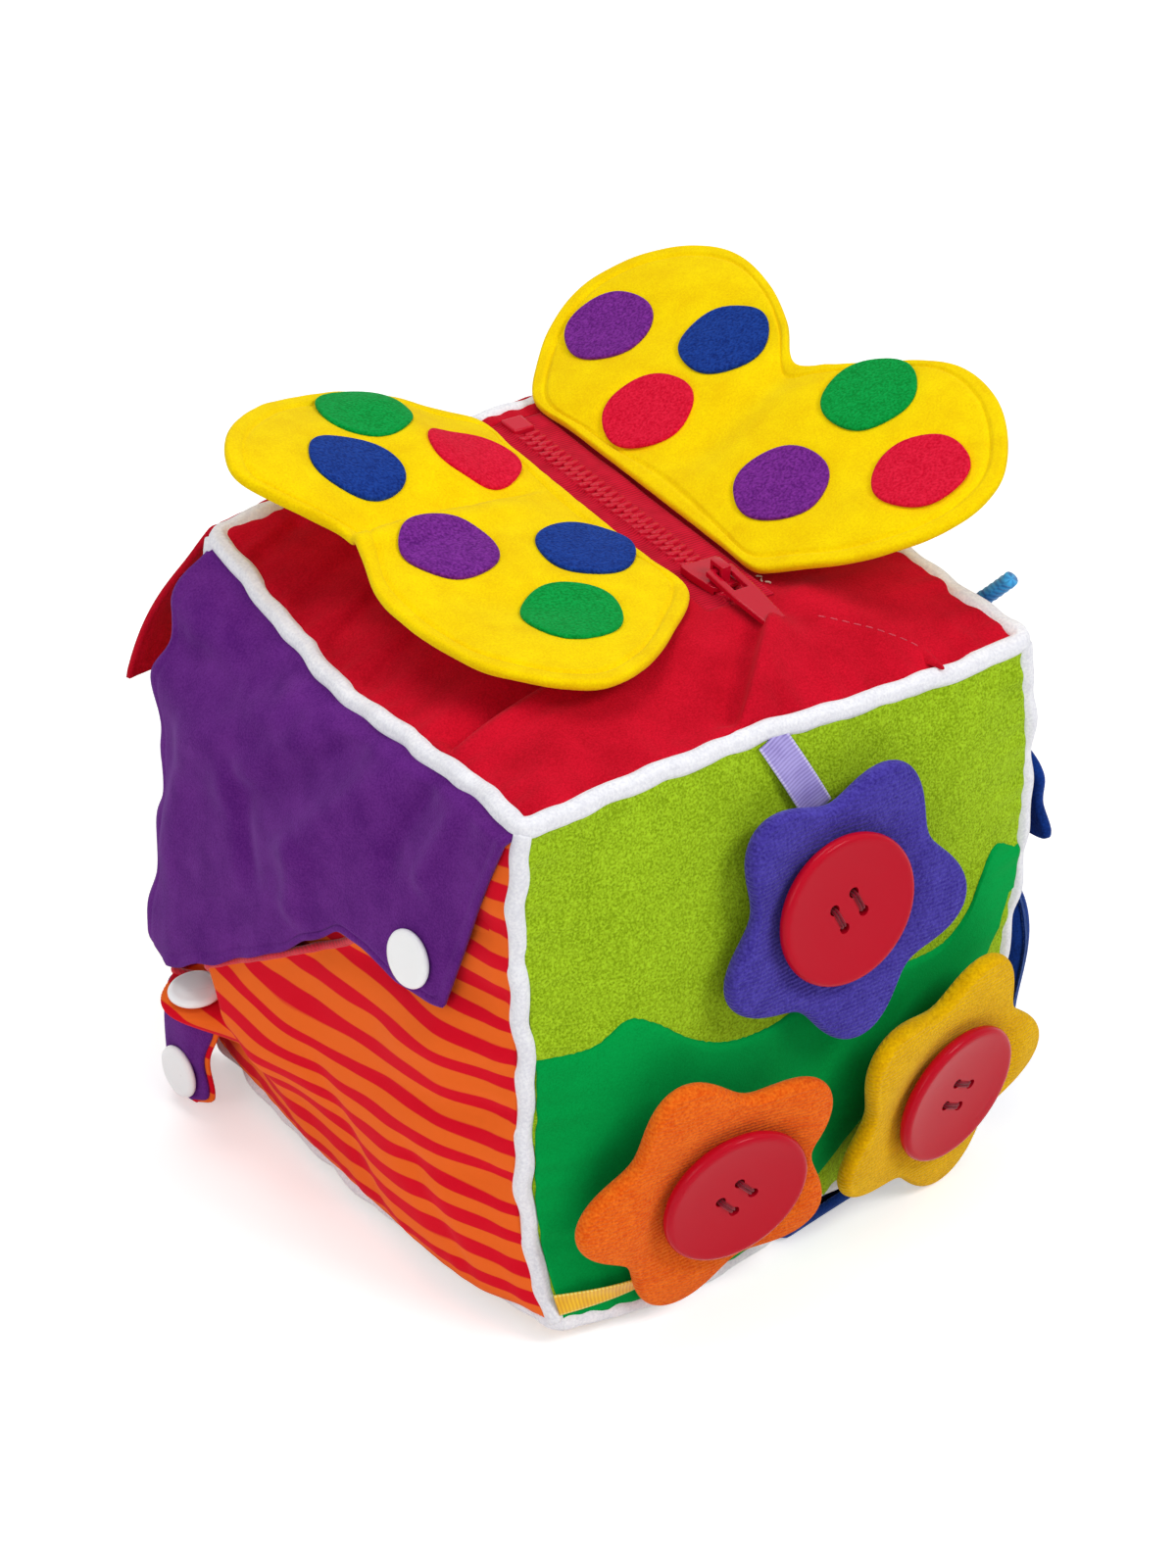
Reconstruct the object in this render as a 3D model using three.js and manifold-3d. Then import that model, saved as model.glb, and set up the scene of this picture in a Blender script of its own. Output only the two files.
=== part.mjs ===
// Soft fabric activity block for a baby: a stuffed cube with piped seams, a zip under butterfly wings,
// buttoned flowers, snap flaps, a lined flap and a laced shoe. Millimetres, +Z up, origin at the base centre.
import * as THREE from 'three';
import { mergeVertices } from 'three/addons/utils/BufferGeometryUtils.js';
import Module from 'manifold-3d';

const wasm = await Module();
wasm.setup();

// Driving dimensions of the stuffed block
const edge = 150;
const pipingDiameter = 5;
const clothThickness = 1.2;
const thinCloth = 0.8;
const clearance = 0.3;
const overrun = 1;
const seamGap = 0.9;
const coreSeamInset = 7;
const coreTopGap = 0.8;
const baseSeamHeight = 7;
const cellsPerSide = 7;

// Crown of each face as a share of the edge, and how square the crown is
const crownShare = { top: 0.05, base: 0.042, flower: 0.05, snap: 0.034, back: 0.04, shoe: 0.04 };
const crownPower = 3;
const panelCornerShare = 0.1;

// How far each corner has moved, as shares of the edge, keyed by the signs of x, y and z
const cornerShiftShare = {
  '-1,-1,1': [-0.023, 0.01, -0.008],
  '-1,1,1': [0.05, -0.005, 0.044],
  '1,-1,1': [0, 0, -0.016],
  '1,1,1': [-0.016, 0.048, 0.06],
  '-1,-1,-1': [0.018, -0.028, 0],
  '-1,1,-1': [0.012, -0.026, 0],
  '1,-1,-1': [-0.04, 0.003, 0],
  '1,1,-1': [-0.015, -0.015, 0],
};

// Waves of each seam, as shares of the edge: one, two and three half waves along the seam,
// first across the seam in the first free axis, then in the second
const seamWaveShare = {
  'x,-1,1': [[0.01, 0, 0], [-0.002, 0.008, -0.004]],
  'x,1,1': [[0, 0, 0], [0.02, 0, 0]],
  'x,-1,-1': [[-0.022, -0.014, 0], [-0.014, -0.01, 0]],
  'x,1,-1': [[-0.01, 0, 0], [0, 0, 0]],
  'y,-1,1': [[-0.006, 0, 0.006], [-0.04, 0.01, 0]],
  'y,1,1': [[0, 0, 0], [0.012, 0, 0]],
  'y,-1,-1': [[-0.036, 0, 0], [-0.01, 0, 0]],
  'y,1,-1': [[-0.01, 0, 0], [0, 0, 0]],
  'z,-1,-1': [[-0.018, -0.004, -0.006], [0.03, 0.006, 0.008]],
  'z,1,-1': [[0.042, -0.006, 0], [0, 0, 0]],
  'z,-1,1': [[-0.03, 0, 0], [0, 0, 0]],
  'z,1,1': [[-0.02, 0, 0], [-0.02, 0, 0]],
};

// Zip
const zipPlaceNearShare = 0.624;
const zipPlaceFarShare = 0.658;
const zipTapeWidth = 19;
const zipNearShare = 0.268;
const zipFarShare = 0.955;
const zipSeamFade = 26;
const tapeThickness = 0.8;
const tapeEndInset = 1.2;
const toothGap = 0.8;
const toothDepth = 1.5;
const toothPitch = 3;
const toothLength = 1.7;
const beadWidth = 0.8;
const toothRise = 1.7;
const toothDrop = 0.9;
const endBoxLength = 7;
const endBoxRise = 2.4;
const sliderLength = 13;
const sliderWidth = 10.4;
const sliderPlate = 1.2;
const sliderFlange = 1.3;
const sliderPostWidth = 1;
const sliderPostLength = 4;
const sliderStart = 4;
const sliderWaistShare = [0.55, 0.82];
const sliderPinShare = 0.3;
const bridgeWidth = 2.6;
const bridgeWall = 1.1;
const pullThickness = 1.6;
const pullLength = 23;
const pullDrop = 5;
const pullWidth = 7.6;
const pullTipWidth = 5.8;
const pullSlotLength = 8;
const pullSlotWidth = 3.9;
const pouchWidth = 56;
const pouchDepth = 2.6;
const pouchWall = 0.8;

// Butterfly wings
const wingHingeLength = 99;
const wingThickness = 2.6;
const wingRightRise = -0.6;
const wingLeftRise = 0.7;
const wingNearShare = 0.33;
const wingRightTilt = 25;
const wingLeftTiltNear = 4;
const wingLeftTiltFar = 16;
const feltThickness = 1.2;
const feltRadius = 12.3;
const wingCentreShare = [0.28, 0.42];

// Wing outlines and dot places as shares of the hinge length: out from the hinge, then along it
const wingRightShare = [
  [0.01, -0.02], [0.107, -0.16], [0.19, -0.223], [0.277, -0.274], [0.371, -0.309], [0.474, -0.321],
  [0.584, -0.296], [0.686, -0.196], [0.76, -0.062], [0.777, 0.088], [0.728, 0.201], [0.66, 0.292],
  [0.585, 0.383], [0.528, 0.482], [0.611, 0.626], [0.67, 0.785], [0.686, 0.952], [0.637, 1.079],
  [0.55, 1.162], [0.449, 1.209], [0.333, 1.219], [0.21, 1.17], [0.096, 1.08], [0.01, 0.97],
  [0.01, 0.8], [0.01, 0.56], [0.01, 0.32], [0.01, 0.12],
];
const wingLeftShare = [
  [0.01, -0.03], [0.154, -0.177], [0.306, -0.284], [0.438, -0.321], [0.53, -0.285], [0.607, -0.215],
  [0.668, -0.134], [0.701, -0.023], [0.725, 0.098], [0.733, 0.23], [0.695, 0.371], [0.682, 0.472],
  [0.755, 0.541], [0.823, 0.614], [0.878, 0.7], [0.82, 0.845], [0.64, 0.995], [0.47, 1.06], [0.34, 1.09],
  [0.2, 1.06], [0.1, 0.99], [0.01, 0.93], [0.01, 0.76], [0.01, 0.54], [0.01, 0.32], [0.01, 0.12],
];
const dotsRightShare = [
  ['purple_far', 0.298, 1.013], ['blue_far', 0.459, 0.697], ['red_mid', 0.173, 0.658],
  ['green_near', 0.565, 0.203], ['purple_near', 0.229, 0.148], ['red_near', 0.473, -0.117],
];
const dotsLeftShare = [
  ['green_far', 0.373, 0.926], ['blue_far', 0.533, 0.687], ['red_mid', 0.178, 0.695],
  ['purple_near', 0.48, 0.321], ['blue_near', 0.15, 0.212], ['green_near', 0.342, -0.021],
];
const wingRingShares = [0.45, 0.94, 1];
const wingRimShare = { low: 0.3, high: 0.7 };
const feltRingShares = [1];
const feltSides = 16;
const wingLoopPoints = 48;

// Flowers, buttons and ribbons on the lime face
const flowerRadius = 32.3;
const petalDepth = 4.6;
const petalCount = 5;
const flowerThickness = 5;
const flowerRim = 1.8;
const slitHalfLength = 18;
const slitHalfWidth = 2.4;
const buttonRadius = 19.5;
const buttonThickness = 4;
const buttonWell = 11;
const buttonWellDepth = 1.2;
const buttonHoleRadius = 1.3;
const buttonHoleSpread = 2.7;
const shankRadius = 1.7;
const threadRadius = 0.8;
const threadBar = 0.9;
const flowerLift = 4.6;
const flowerLiftOnHill = 7.6;
const threadSeat = 0.6;
const threadSeatOnHill = 2.1;
const threadSeatOnDip = 1.4;
const flowers = [
  {
    name: 'violet', colour: 0x5b45b5, placeShare: [0.525, 0.698], slipShare: [0.0167, -0.0133],
    lift: flowerLift, seat: threadSeat, lean: [0, -3], turn: 59,
  },
  {
    name: 'orange', colour: 0xf07020, placeShare: [0.308, 0.265], slipShare: [-0.0267, 0],
    lift: flowerLiftOnHill, seat: threadSeatOnHill, lean: [8, -5], turn: 39,
  },
  {
    name: 'yellow', colour: 0xf0c800, placeShare: [0.787, 0.221], slipShare: [-0.0067, 0.0033],
    lift: flowerLiftOnHill, seat: threadSeatOnDip, lean: [3, 1.4], turn: 65,
  },
];
const flowerRingShares = [0, 0.2, 0.36, 0.94, 1];
const flowerPoints = 30;
const buttonholeDip = 1.6;
const buttonSides = 24;
const buttonProfileShare = [[0, 0], [0.9, 0], [1, 0.35], [0.97, 0.75], [0.88, 1]];
const buttonWellShare = 0.8;
const ribbonWidth = 9;
const ribbonThickness = 0.5;
const ribbonRise = 0.5;
const hillTopShare = [
  [0.022, 0.545], [0.1, 0.552], [0.16, 0.594], [0.2, 0.576], [0.27, 0.517], [0.34, 0.482], [0.42, 0.476],
  [0.55, 0.5], [0.7, 0.47], [0.82, 0.46], [0.87, 0.5], [0.9, 0.58], [0.925, 0.613], [0.978, 0.58],
];
const hillFootShare = [
  [0.022, 0.022], [0.5, 0.022], [0.63, 0.12], [0.8, 0.22], [0.9, 0.31], [0.95, 0.39], [0.978, 0.48],
];

// Snap side
const flapThickness = 1.6;
const flapHingeDrop = 1;
const snapCapRadius = 7.2;
const snapCapHeight = 2.4;
const pocketThickness = 1.6;
const tabThickness = 1.8;
const flapHemShare = [
  [0.02, 0.25], [0.1, 0.28], [0.24, 0.37], [0.38, 0.465], [0.5, 0.555], [0.6, 0.625], [0.7, 0.615],
  [0.8, 0.605], [0.875, 0.613],
];
const pocketTopShare = [
  [0.03, 0.21], [0.12, 0.28], [0.3, 0.405], [0.46, 0.51], [0.6, 0.6], [0.8, 0.76], [0.978, 0.9],
];
const flapTopShare = [0.012, 0.985];
const flapHingeLift = 3.5;
const standOffShare = [
  [0.14, 0], [0.28, 0.09], [0.5, 0.05], [0.65, 0.052], [0.78, 0.07], [0.9, 0.045], [0.985, 0],
];
const standOffReach = 0.75;
const tipStandOff = 3.5;
const tipShare = { from: [0.5, 0.35], below: [0.8, 0.3] };
const tabPathShare = [[-0.4973, 0.484], [-0.627, 0.493], [-0.58, 0.313]];
const tabLowShare = [0.02, 0.02];
const tabHighShare = [0.2, 0.22];
const capProfileShare = [[0, 0], [1, 0], [1, 0.45], [0.85, 0.85], [0, 1]];
const capSides = 20;
const capPlaceShare = { flap: [0.8, 0.672], pocket: [0.15, 0.235], tab: [0.27, 0.76] };
const capSeat = 0.6;

// Back flap and shoe
const backFlapThickness = 2;
const backFlapFlare = 18;
const backHemShare = { from: -0.02, to: 1.07, height: 0.7 };
const backTopShare = { from: 0.03, to: 0.985 };
const shoeThickness = 11;
const tongueThickness = 3;
const laceDiameter = 4;
const laceSides = 8;
const tongueTipLift = 8;
const tongueTipReach = 0.3;
const tongueRimShare = 0.5;
const upperRimShare = 0.6;
const upperRimPower = 8;
const overPiping = 2;
const overPipingReach = 0.09;
const laceShare = [
  [0.7, 0.77], [0.5, 0.785], [0.32, 0.8], [0.5, 0.83], [0.7, 0.85], [0.5, 0.87], [0.32, 0.9],
];
const laceEndRoute = [[80, -34, 134.5], [81, -42, 137], [81.7, -48.5, 143], [82.3, -57, 152]];
const shoeShare = [
  [0.0, 0.1], [0.08, 0.055], [0.25, 0.05], [0.6, 0.055], [0.86, 0.08], [0.95, 0.16], [0.92, 0.3], [0.76, 0.43],
  [0.56, 0.5], [0.34, 0.5], [0.16, 0.47], [0.04, 0.43], [-0.005, 0.36], [-0.01, 0.22],
];
const shoeCentreShare = [0.45, 0.27];
const shoeRingShares = [0.4, 0.75, 0.92, 1];
const shoePoints = 36;
const tongueShare = [
  [0.0, 0.55], [0.03, 0.6], [0.035, 0.66], [0.11, 0.71], [0.26, 0.725], [0.42, 0.7], [0.54, 0.63], [0.56, 0.55],
  [0.4, 0.53], [0.2, 0.53],
];
const tongueCentreShare = [0.3, 0.62];
const tongueRingShares = [0.5, 0.85, 1];
const tonguePoints = 24;
const laceSteps = 30;
const laceEndSteps = 16;

// Values that follow from the driving dimensions
const pipingRadius = pipingDiameter / 2;
const halfSpan = edge / 2 - pipingRadius;
const topSeamHeight = edge - pipingRadius;
const panelInset = pipingRadius + seamGap;
const panelShare = panelInset / edge;
const patchLift = clothThickness + clearance;
const patchTop = patchLift + thinCloth;
const ribbonShares = [
  { name: 'ribbon_lilac', colour: 0x9b8fd6, from: [0.5, 0.97], to: [0.53, 0.85], seat: patchLift },
  { name: 'ribbon_gold', colour: 0xf5b800, from: [0.035, 0.05], to: [0.13, 0.082], seat: patchTop + clearance },
  { name: 'ribbon_orange', colour: 0xf07020, from: [0.965, 0.25], to: [0.885, 0.24], seat: patchLift },
];
const smallSides = 8;
const nudgeShare = 0.02;
const pipingSides = 8;
const pipingLoopSteps = 48;
const pipingUprightSteps = 12;
const pipingTurnShare = 0.035;

const group = new THREE.Group();

// Mesh helpers

function material(colour, roughness = 0.85) {
  return new THREE.MeshStandardMaterial({ color: colour, roughness, metalness: 0 });
}

function add(name, geometry, colour, roughness) {
  const mesh = new THREE.Mesh(geometry, material(colour, roughness));
  mesh.name = name;
  group.add(mesh);
  return mesh;
}

function geometryOf(points, triangles) {
  const geometry = new THREE.BufferGeometry();
  const places = points.flatMap((p) => [p.x, p.y, p.z]);
  geometry.setAttribute('position', new THREE.Float32BufferAttribute(places, 3));
  geometry.setIndex(triangles.flat());
  geometry.computeVertexNormals();
  return geometry;
}

function solidOf(geometry) {
  const bare = geometry.clone();
  bare.deleteAttribute('normal');
  bare.deleteAttribute('uv');
  const merged = mergeVertices(bare, 1e-4);
  const mesh = new wasm.Mesh({
    numProp: 3,
    vertProperties: new Float32Array(merged.attributes.position.array),
    triVerts: new Uint32Array(merged.index.array),
  });
  return new wasm.Manifold(mesh);
}

function geometryFrom(solid) {
  const mesh = solid.getMesh();
  const geometry = new THREE.BufferGeometry();
  geometry.setAttribute('position', new THREE.BufferAttribute(mesh.vertProperties, 3));
  geometry.setIndex(new THREE.BufferAttribute(mesh.triVerts, 1));
  geometry.computeVertexNormals();
  return geometry;
}

function steps(from, to, count) {
  return Array.from({ length: count + 1 }, (_, i) => from + ((to - from) * i) / count);
}

function valueOf(liftRule, a, b, share) {
  return typeof liftRule === 'function' ? liftRule(a, b, share) : liftRule;
}

// A closed sheet over a grid of places. keep says which cells hold cloth, so a window stays open.
function sheet(surface, us, vs, low, high, keep = () => true) {
  const points = [];
  const triangles = [];
  const index = new Map();
  const corner = (i, j, top) => {
    const key = `${i},${j},${top}`;
    if (!index.has(key)) {
      index.set(key, points.length);
      points.push(surface(us[i], vs[j], valueOf(top ? high : low, us[i], vs[j])));
    }
    return index.get(key);
  };
  const held = (i, j) => i >= 0 && j >= 0 && i < us.length - 1 && j < vs.length - 1 && keep(i, j);
  const wall = (a, b) => {
    const [la, lb] = [corner(...a, false), corner(...b, false)];
    const [ha, hb] = [corner(...a, true), corner(...b, true)];
    triangles.push([la, lb, hb], [la, hb, ha]);
  };
  for (let i = 0; i < us.length - 1; i += 1) {
    for (let j = 0; j < vs.length - 1; j += 1) {
      if (!held(i, j)) continue;
      const ring = [[i, j], [i + 1, j], [i + 1, j + 1], [i, j + 1]];
      const [a, b, c, d] = ring.map(([p, q]) => corner(p, q, true));
      const [e, f, g, h] = ring.map(([p, q]) => corner(p, q, false));
      triangles.push([a, b, c], [a, c, d], [e, g, f], [e, h, g]);
      if (!held(i, j - 1)) wall(ring[0], ring[1]);
      if (!held(i + 1, j)) wall(ring[1], ring[2]);
      if (!held(i, j + 1)) wall(ring[2], ring[3]);
      if (!held(i - 1, j)) wall(ring[3], ring[0]);
    }
  }
  return geometryOf(points, triangles);
}

// A closed sheet inside an outline, as rings from its centre, or from an inner outline when it has a hole.
function rounded(surface, centre, outline, shares, low, high, inner = null) {
  const points = [];
  const triangles = [];
  const count = outline.length;
  const level = (rule) => shares.map((share) => outline.map((p, i) => {
    const from = inner ? inner[i] : centre;
    const a = from[0] + (p[0] - from[0]) * share;
    const b = from[1] + (p[1] - from[1]) * share;
    points.push(surface(a, b, valueOf(rule, a, b, share)));
    return points.length - 1;
  }));
  const top = level(high);
  const bottom = level(low);
  const join = (outer, within, flip) => {
    for (let i = 0; i < count; i += 1) {
      const n = (i + 1) % count;
      const quad = [[within[i], outer[i], outer[n]], [within[i], outer[n], within[n]]];
      triangles.push(...(flip ? quad.map(([a, b, c]) => [a, c, b]) : quad));
    }
  };
  for (let k = 1; k < shares.length; k += 1) {
    join(top[k], top[k - 1], false);
    join(bottom[k], bottom[k - 1], true);
  }
  join(bottom[shares.length - 1], top[shares.length - 1], false);
  if (inner) {
    join(bottom[0], top[0], true);
  } else {
    for (const [ring, rule, flip] of [[top[0], high, false], [bottom[0], low, true]]) {
      const middle = points.length;
      points.push(surface(centre[0], centre[1], valueOf(rule, centre[0], centre[1], 0)));
      for (let i = 0; i < count; i += 1) {
        const n = (i + 1) % count;
        triangles.push(flip ? [middle, ring[n], ring[i]] : [middle, ring[i], ring[n]]);
      }
    }
  }
  return geometryOf(points, triangles);
}

function smoothLoop(points, count) {
  const corners = points.map(([a, b]) => new THREE.Vector3(a, b, 0));
  const curve = new THREE.CatmullRomCurve3(corners, true, 'centripetal');
  return Array.from({ length: count }, (_, i) => curve.getPointAt(i / count)).map((p) => [p.x, p.y]);
}

function circleLoop(radius, count, centre = [0, 0]) {
  return Array.from({ length: count }, (_, i) => {
    const angle = (2 * Math.PI * i) / count;
    return [centre[0] + radius * Math.cos(angle), centre[1] + radius * Math.sin(angle)];
  });
}

function shapeOf(points) {
  return new THREE.Shape(points.map(([a, b]) => new THREE.Vector2(a, b)));
}

function tubeAlong(curve, radius, sides, count) {
  const section = shapeOf(circleLoop(radius, sides));
  return new THREE.ExtrudeGeometry(section, { steps: count, bevelEnabled: false, extrudePath: curve });
}

function interpolate(table, at) {
  const last = table.length - 1;
  if (at <= table[0][0]) return table[0][1];
  for (let i = 0; i < last; i += 1) {
    const [from, to] = [table[i], table[i + 1]];
    if (at <= to[0]) {
      const share = (at - from[0]) / (to[0] - from[0]);
      const eased = share * share * (3 - 2 * share);
      return from[1] + (to[1] - from[1]) * eased;
    }
  }
  return table[last][1];
}

function ease(share) {
  const s = Math.min(1, Math.max(0, share));
  return s * s * (3 - 2 * s);
}

// The soft cube: corners, seams and faces

function corner(sx, sy, sz) {
  const shift = new THREE.Vector3(...cornerShiftShare[`${sx},${sy},${sz}`]);
  const height = sz > 0 ? topSeamHeight : baseSeamHeight;
  return new THREE.Vector3(sx * halfSpan, sy * halfSpan, height).addScaledVector(shift, edge);
}

function seam(axis, s1, s2, t) {
  const ends = {
    x: () => [corner(-1, s1, s2), corner(1, s1, s2)],
    y: () => [corner(s1, -1, s2), corner(s1, 1, s2)],
    z: () => [corner(s1, s2, -1), corner(s1, s2, 1)],
  }[axis]();
  const point = ends[0].clone().lerp(ends[1], t);
  const across = ['x', 'y', 'z'].filter((name) => name !== axis);
  seamWaveShare[`${axis},${s1},${s2}`].forEach((waves, side) => {
    const offset = waves.reduce((sum, wave, i) => sum + wave * Math.sin((i + 1) * Math.PI * t), 0);
    const key = 'xyz'.indexOf(across[side]);
    point.setComponent(key, point.getComponent(key) + edge * offset);
  });
  return point;
}

const faces = {
  top: { out: [0, 0, 1], sides: [['x', -1, 1], ['x', 1, 1], ['y', -1, 1], ['y', 1, 1]], turn: [1, 1] },
  base: { out: [0, 0, -1], sides: [['x', 1, -1], ['x', -1, -1], ['y', -1, -1], ['y', 1, -1]], turn: [1, -1] },
  flower: { out: [0, -1, 0], sides: [['x', -1, -1], ['x', -1, 1], ['z', -1, -1], ['z', 1, -1]], turn: [1, 1] },
  snap: { out: [-1, 0, 0], sides: [['y', -1, -1], ['y', -1, 1], ['z', -1, 1], ['z', -1, -1]], turn: [-1, 1] },
  back: { out: [0, 1, 0], sides: [['x', 1, -1], ['x', 1, 1], ['z', 1, 1], ['z', -1, 1]], turn: [-1, 1] },
  shoe: { out: [1, 0, 0], sides: [['y', 1, -1], ['y', 1, 1], ['z', 1, -1], ['z', 1, 1]], turn: [1, 1] },
};

// A patch between the four seams of a face; u runs to the right and v up, seen from outside.
function flatFace(name, u, v) {
  const { sides, turn } = faces[name];
  const across = (side, t) => seam(...sides[side], turn[0] > 0 ? t : 1 - t);
  const along = (side, t) => seam(...sides[side], turn[1] > 0 ? t : 1 - t);
  const point = new THREE.Vector3();
  point.addScaledVector(across(0, u), 1 - v).addScaledVector(across(1, u), v);
  point.addScaledVector(along(2, v), 1 - u).addScaledVector(along(3, v), u);
  point.addScaledVector(across(0, 0), -(1 - u) * (1 - v)).addScaledVector(across(0, 1), -u * (1 - v));
  return point.addScaledVector(across(1, 0), -(1 - u) * v).addScaledVector(across(1, 1), -u * v);
}

function crown(name, u, v) {
  const profile = (t) => Math.max(0, 1 - Math.abs(2 * t - 1) ** crownPower);
  return edge * crownShare[name] * profile(u) * profile(v);
}

function topSides(v) {
  return [flatFace('top', 0, v).x, flatFace('top', 1, v).x];
}

// Share of the top's width at a distance beside the zip's straight centre line, which slants a little
function zipPlace(v, across = 0) {
  const [left, right] = topSides(v);
  const near = THREE.MathUtils.lerp(...topSides(zipNearShare), zipPlaceNearShare);
  const far = THREE.MathUtils.lerp(...topSides(zipFarShare), zipPlaceFarShare);
  const along = (v - zipNearShare) / (zipFarShare - zipNearShare);
  return (near + (far - near) * along + across - left) / (right - left);
}

// The stiff zip keeps the cloth beside it straight along its length.
function zipHeight(v) {
  const heightAt = (share) => flatFace('top', zipPlace(share), share).z + crown('top', zipPlace(share), share);
  const near = heightAt(zipNearShare);
  const far = heightAt(zipFarShare);
  const straight = near + ((far - near) * (v - zipNearShare)) / (zipFarShare - zipNearShare);
  return (straight - heightAt(v)) * ease(v / zipNearShare) * ease((1 - v) / (1 - zipFarShare));
}

function facePoint(name, u, v, lift) {
  const point = flatFace(name, u, v);
  let out = crown(name, u, v) + lift;
  if (name === 'top') {
    const flat = (zipTapeWidth / 2 + panelInset) / edge;
    out += zipHeight(v) * (1 - ease((Math.abs(u - zipPlace(v)) - flat) / (zipSeamFade / edge)));
  }
  point.addScaledVector(new THREE.Vector3(...faces[name].out), out);
  if (name === 'base') point.z = Math.max(point.z, patchTop - lift);
  return point;
}

const on = (name) => (u, v, lift) => facePoint(name, u, v, lift);

// Rounds the corners of a panel's grid so that it clears the piping at the corners
function drawnIn(s, t) {
  return s * Math.sqrt(1 - (panelCornerShare * t ** 4) / 2);
}

function softened(name) {
  return (u, v, lift) => {
    const [s, t] = [2 * u - 1, 2 * v - 1];
    return facePoint(name, (1 + drawnIn(s, t)) / 2, (1 + drawnIn(t, s)) / 2, lift);
  };
}

const panelEdge = [panelShare, 1 - panelShare];
const coreInset = coreSeamInset / edge;
const coreSteps = steps(coreInset, 1 - coreInset, cellsPerSide);
const panelSteps = [panelEdge[0], ...coreSteps, panelEdge[1]];

// Foam core: six face grids joined by chamfers at the seams and corners
function coreGeometry() {
  const shares = coreSteps;
  const last = cellsPerSide;
  const points = [];
  const triangles = [];
  const grids = {};
  for (const name of Object.keys(faces)) {
    const gap = name === 'top' ? coreTopGap : clearance;
    grids[name] = shares.map((u) => shares.map((v) => {
      points.push(softened(name)(u, v, -gap));
      return points.length - 1;
    }));
    for (let i = 0; i < last; i += 1) {
      for (let j = 0; j < last; j += 1) {
        const grid = grids[name];
        const opposite = grid[i + 1][j + 1];
        triangles.push([grid[i][j], grid[i + 1][j], opposite], [grid[i][j], opposite, grid[i][j + 1]]);
      }
    }
  }
  const row = (name, side) => {
    const grid = grids[name];
    if (side === 'low') return shares.map((_, i) => grid[i][0]);
    if (side === 'high') return shares.map((_, i) => grid[last - i][last]);
    if (side === 'right') return shares.map((_, i) => grid[last][i]);
    return shares.map((_, i) => grid[0][last - i]);
  };
  const bridge = (one, other) => {
    const back = [...other].reverse();
    for (let i = 0; i < last; i += 1) {
      triangles.push([one[i], back[i], back[i + 1]], [one[i], back[i + 1], one[i + 1]]);
    }
  };
  bridge(row('top', 'low'), row('flower', 'high'));
  bridge(row('top', 'right'), row('shoe', 'high'));
  bridge(row('top', 'high'), row('back', 'high'));
  bridge(row('top', 'left'), row('snap', 'high'));
  bridge(row('flower', 'right'), row('shoe', 'left'));
  bridge(row('shoe', 'right'), row('back', 'left'));
  bridge(row('back', 'right'), row('snap', 'left'));
  bridge(row('snap', 'right'), row('flower', 'left'));
  bridge(row('base', 'high'), row('flower', 'low'));
  bridge(row('base', 'right'), row('shoe', 'low'));
  bridge(row('base', 'low'), row('back', 'low'));
  bridge(row('base', 'left'), row('snap', 'low'));
  const g = grids;
  triangles.push([g.top[0][0], g.snap[last][last], g.flower[0][last]]);
  triangles.push([g.top[last][0], g.flower[last][last], g.shoe[0][last]]);
  triangles.push([g.top[last][last], g.shoe[last][last], g.back[0][last]]);
  triangles.push([g.top[0][last], g.back[last][last], g.snap[0][last]]);
  triangles.push([g.base[0][last], g.flower[0][0], g.snap[last][0]]);
  triangles.push([g.base[last][last], g.shoe[0][0], g.flower[last][0]]);
  triangles.push([g.base[last][0], g.back[0][0], g.shoe[last][0]]);
  triangles.push([g.base[0][0], g.snap[0][0], g.back[last][0]]);
  return geometryOf(points, triangles);
}

// Zip frame: a straight line along the zip, its own across and up directions, and places along it in mm
const zipNear = facePoint('top', zipPlaceNearShare, zipNearShare, 0);
const zipFar = facePoint('top', zipPlaceFarShare, zipFarShare, 0);
const zipLength = zipNear.distanceTo(zipFar);
const zipAlong = zipFar.clone().sub(zipNear).normalize();
const zipAcross = new THREE.Vector3(1, 0, 0).addScaledVector(zipAlong, -zipAlong.x).normalize();
const zipUp = new THREE.Vector3().crossVectors(zipAcross, zipAlong).normalize();

const zipMatrix = new THREE.Matrix4().makeBasis(zipAcross, zipAlong, zipUp).setPosition(zipNear);

function zipPoint(across, along, up) {
  return new THREE.Vector3(across, along, up).applyMatrix4(zipMatrix);
}

// Stacked bands of an across-and-up section, pushed along the zip from one place to another
function zipBar(section, from, to) {
  const geometry = new THREE.ExtrudeGeometry(shapeOf(section), { depth: to - from, bevelEnabled: false });
  geometry.rotateX(Math.PI / 2);
  geometry.translate(0, to, 0);
  return geometry;
}

function boxSection(left, right, low, high) {
  return [[left, low], [right, low], [right, high], [left, high]];
}

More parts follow.
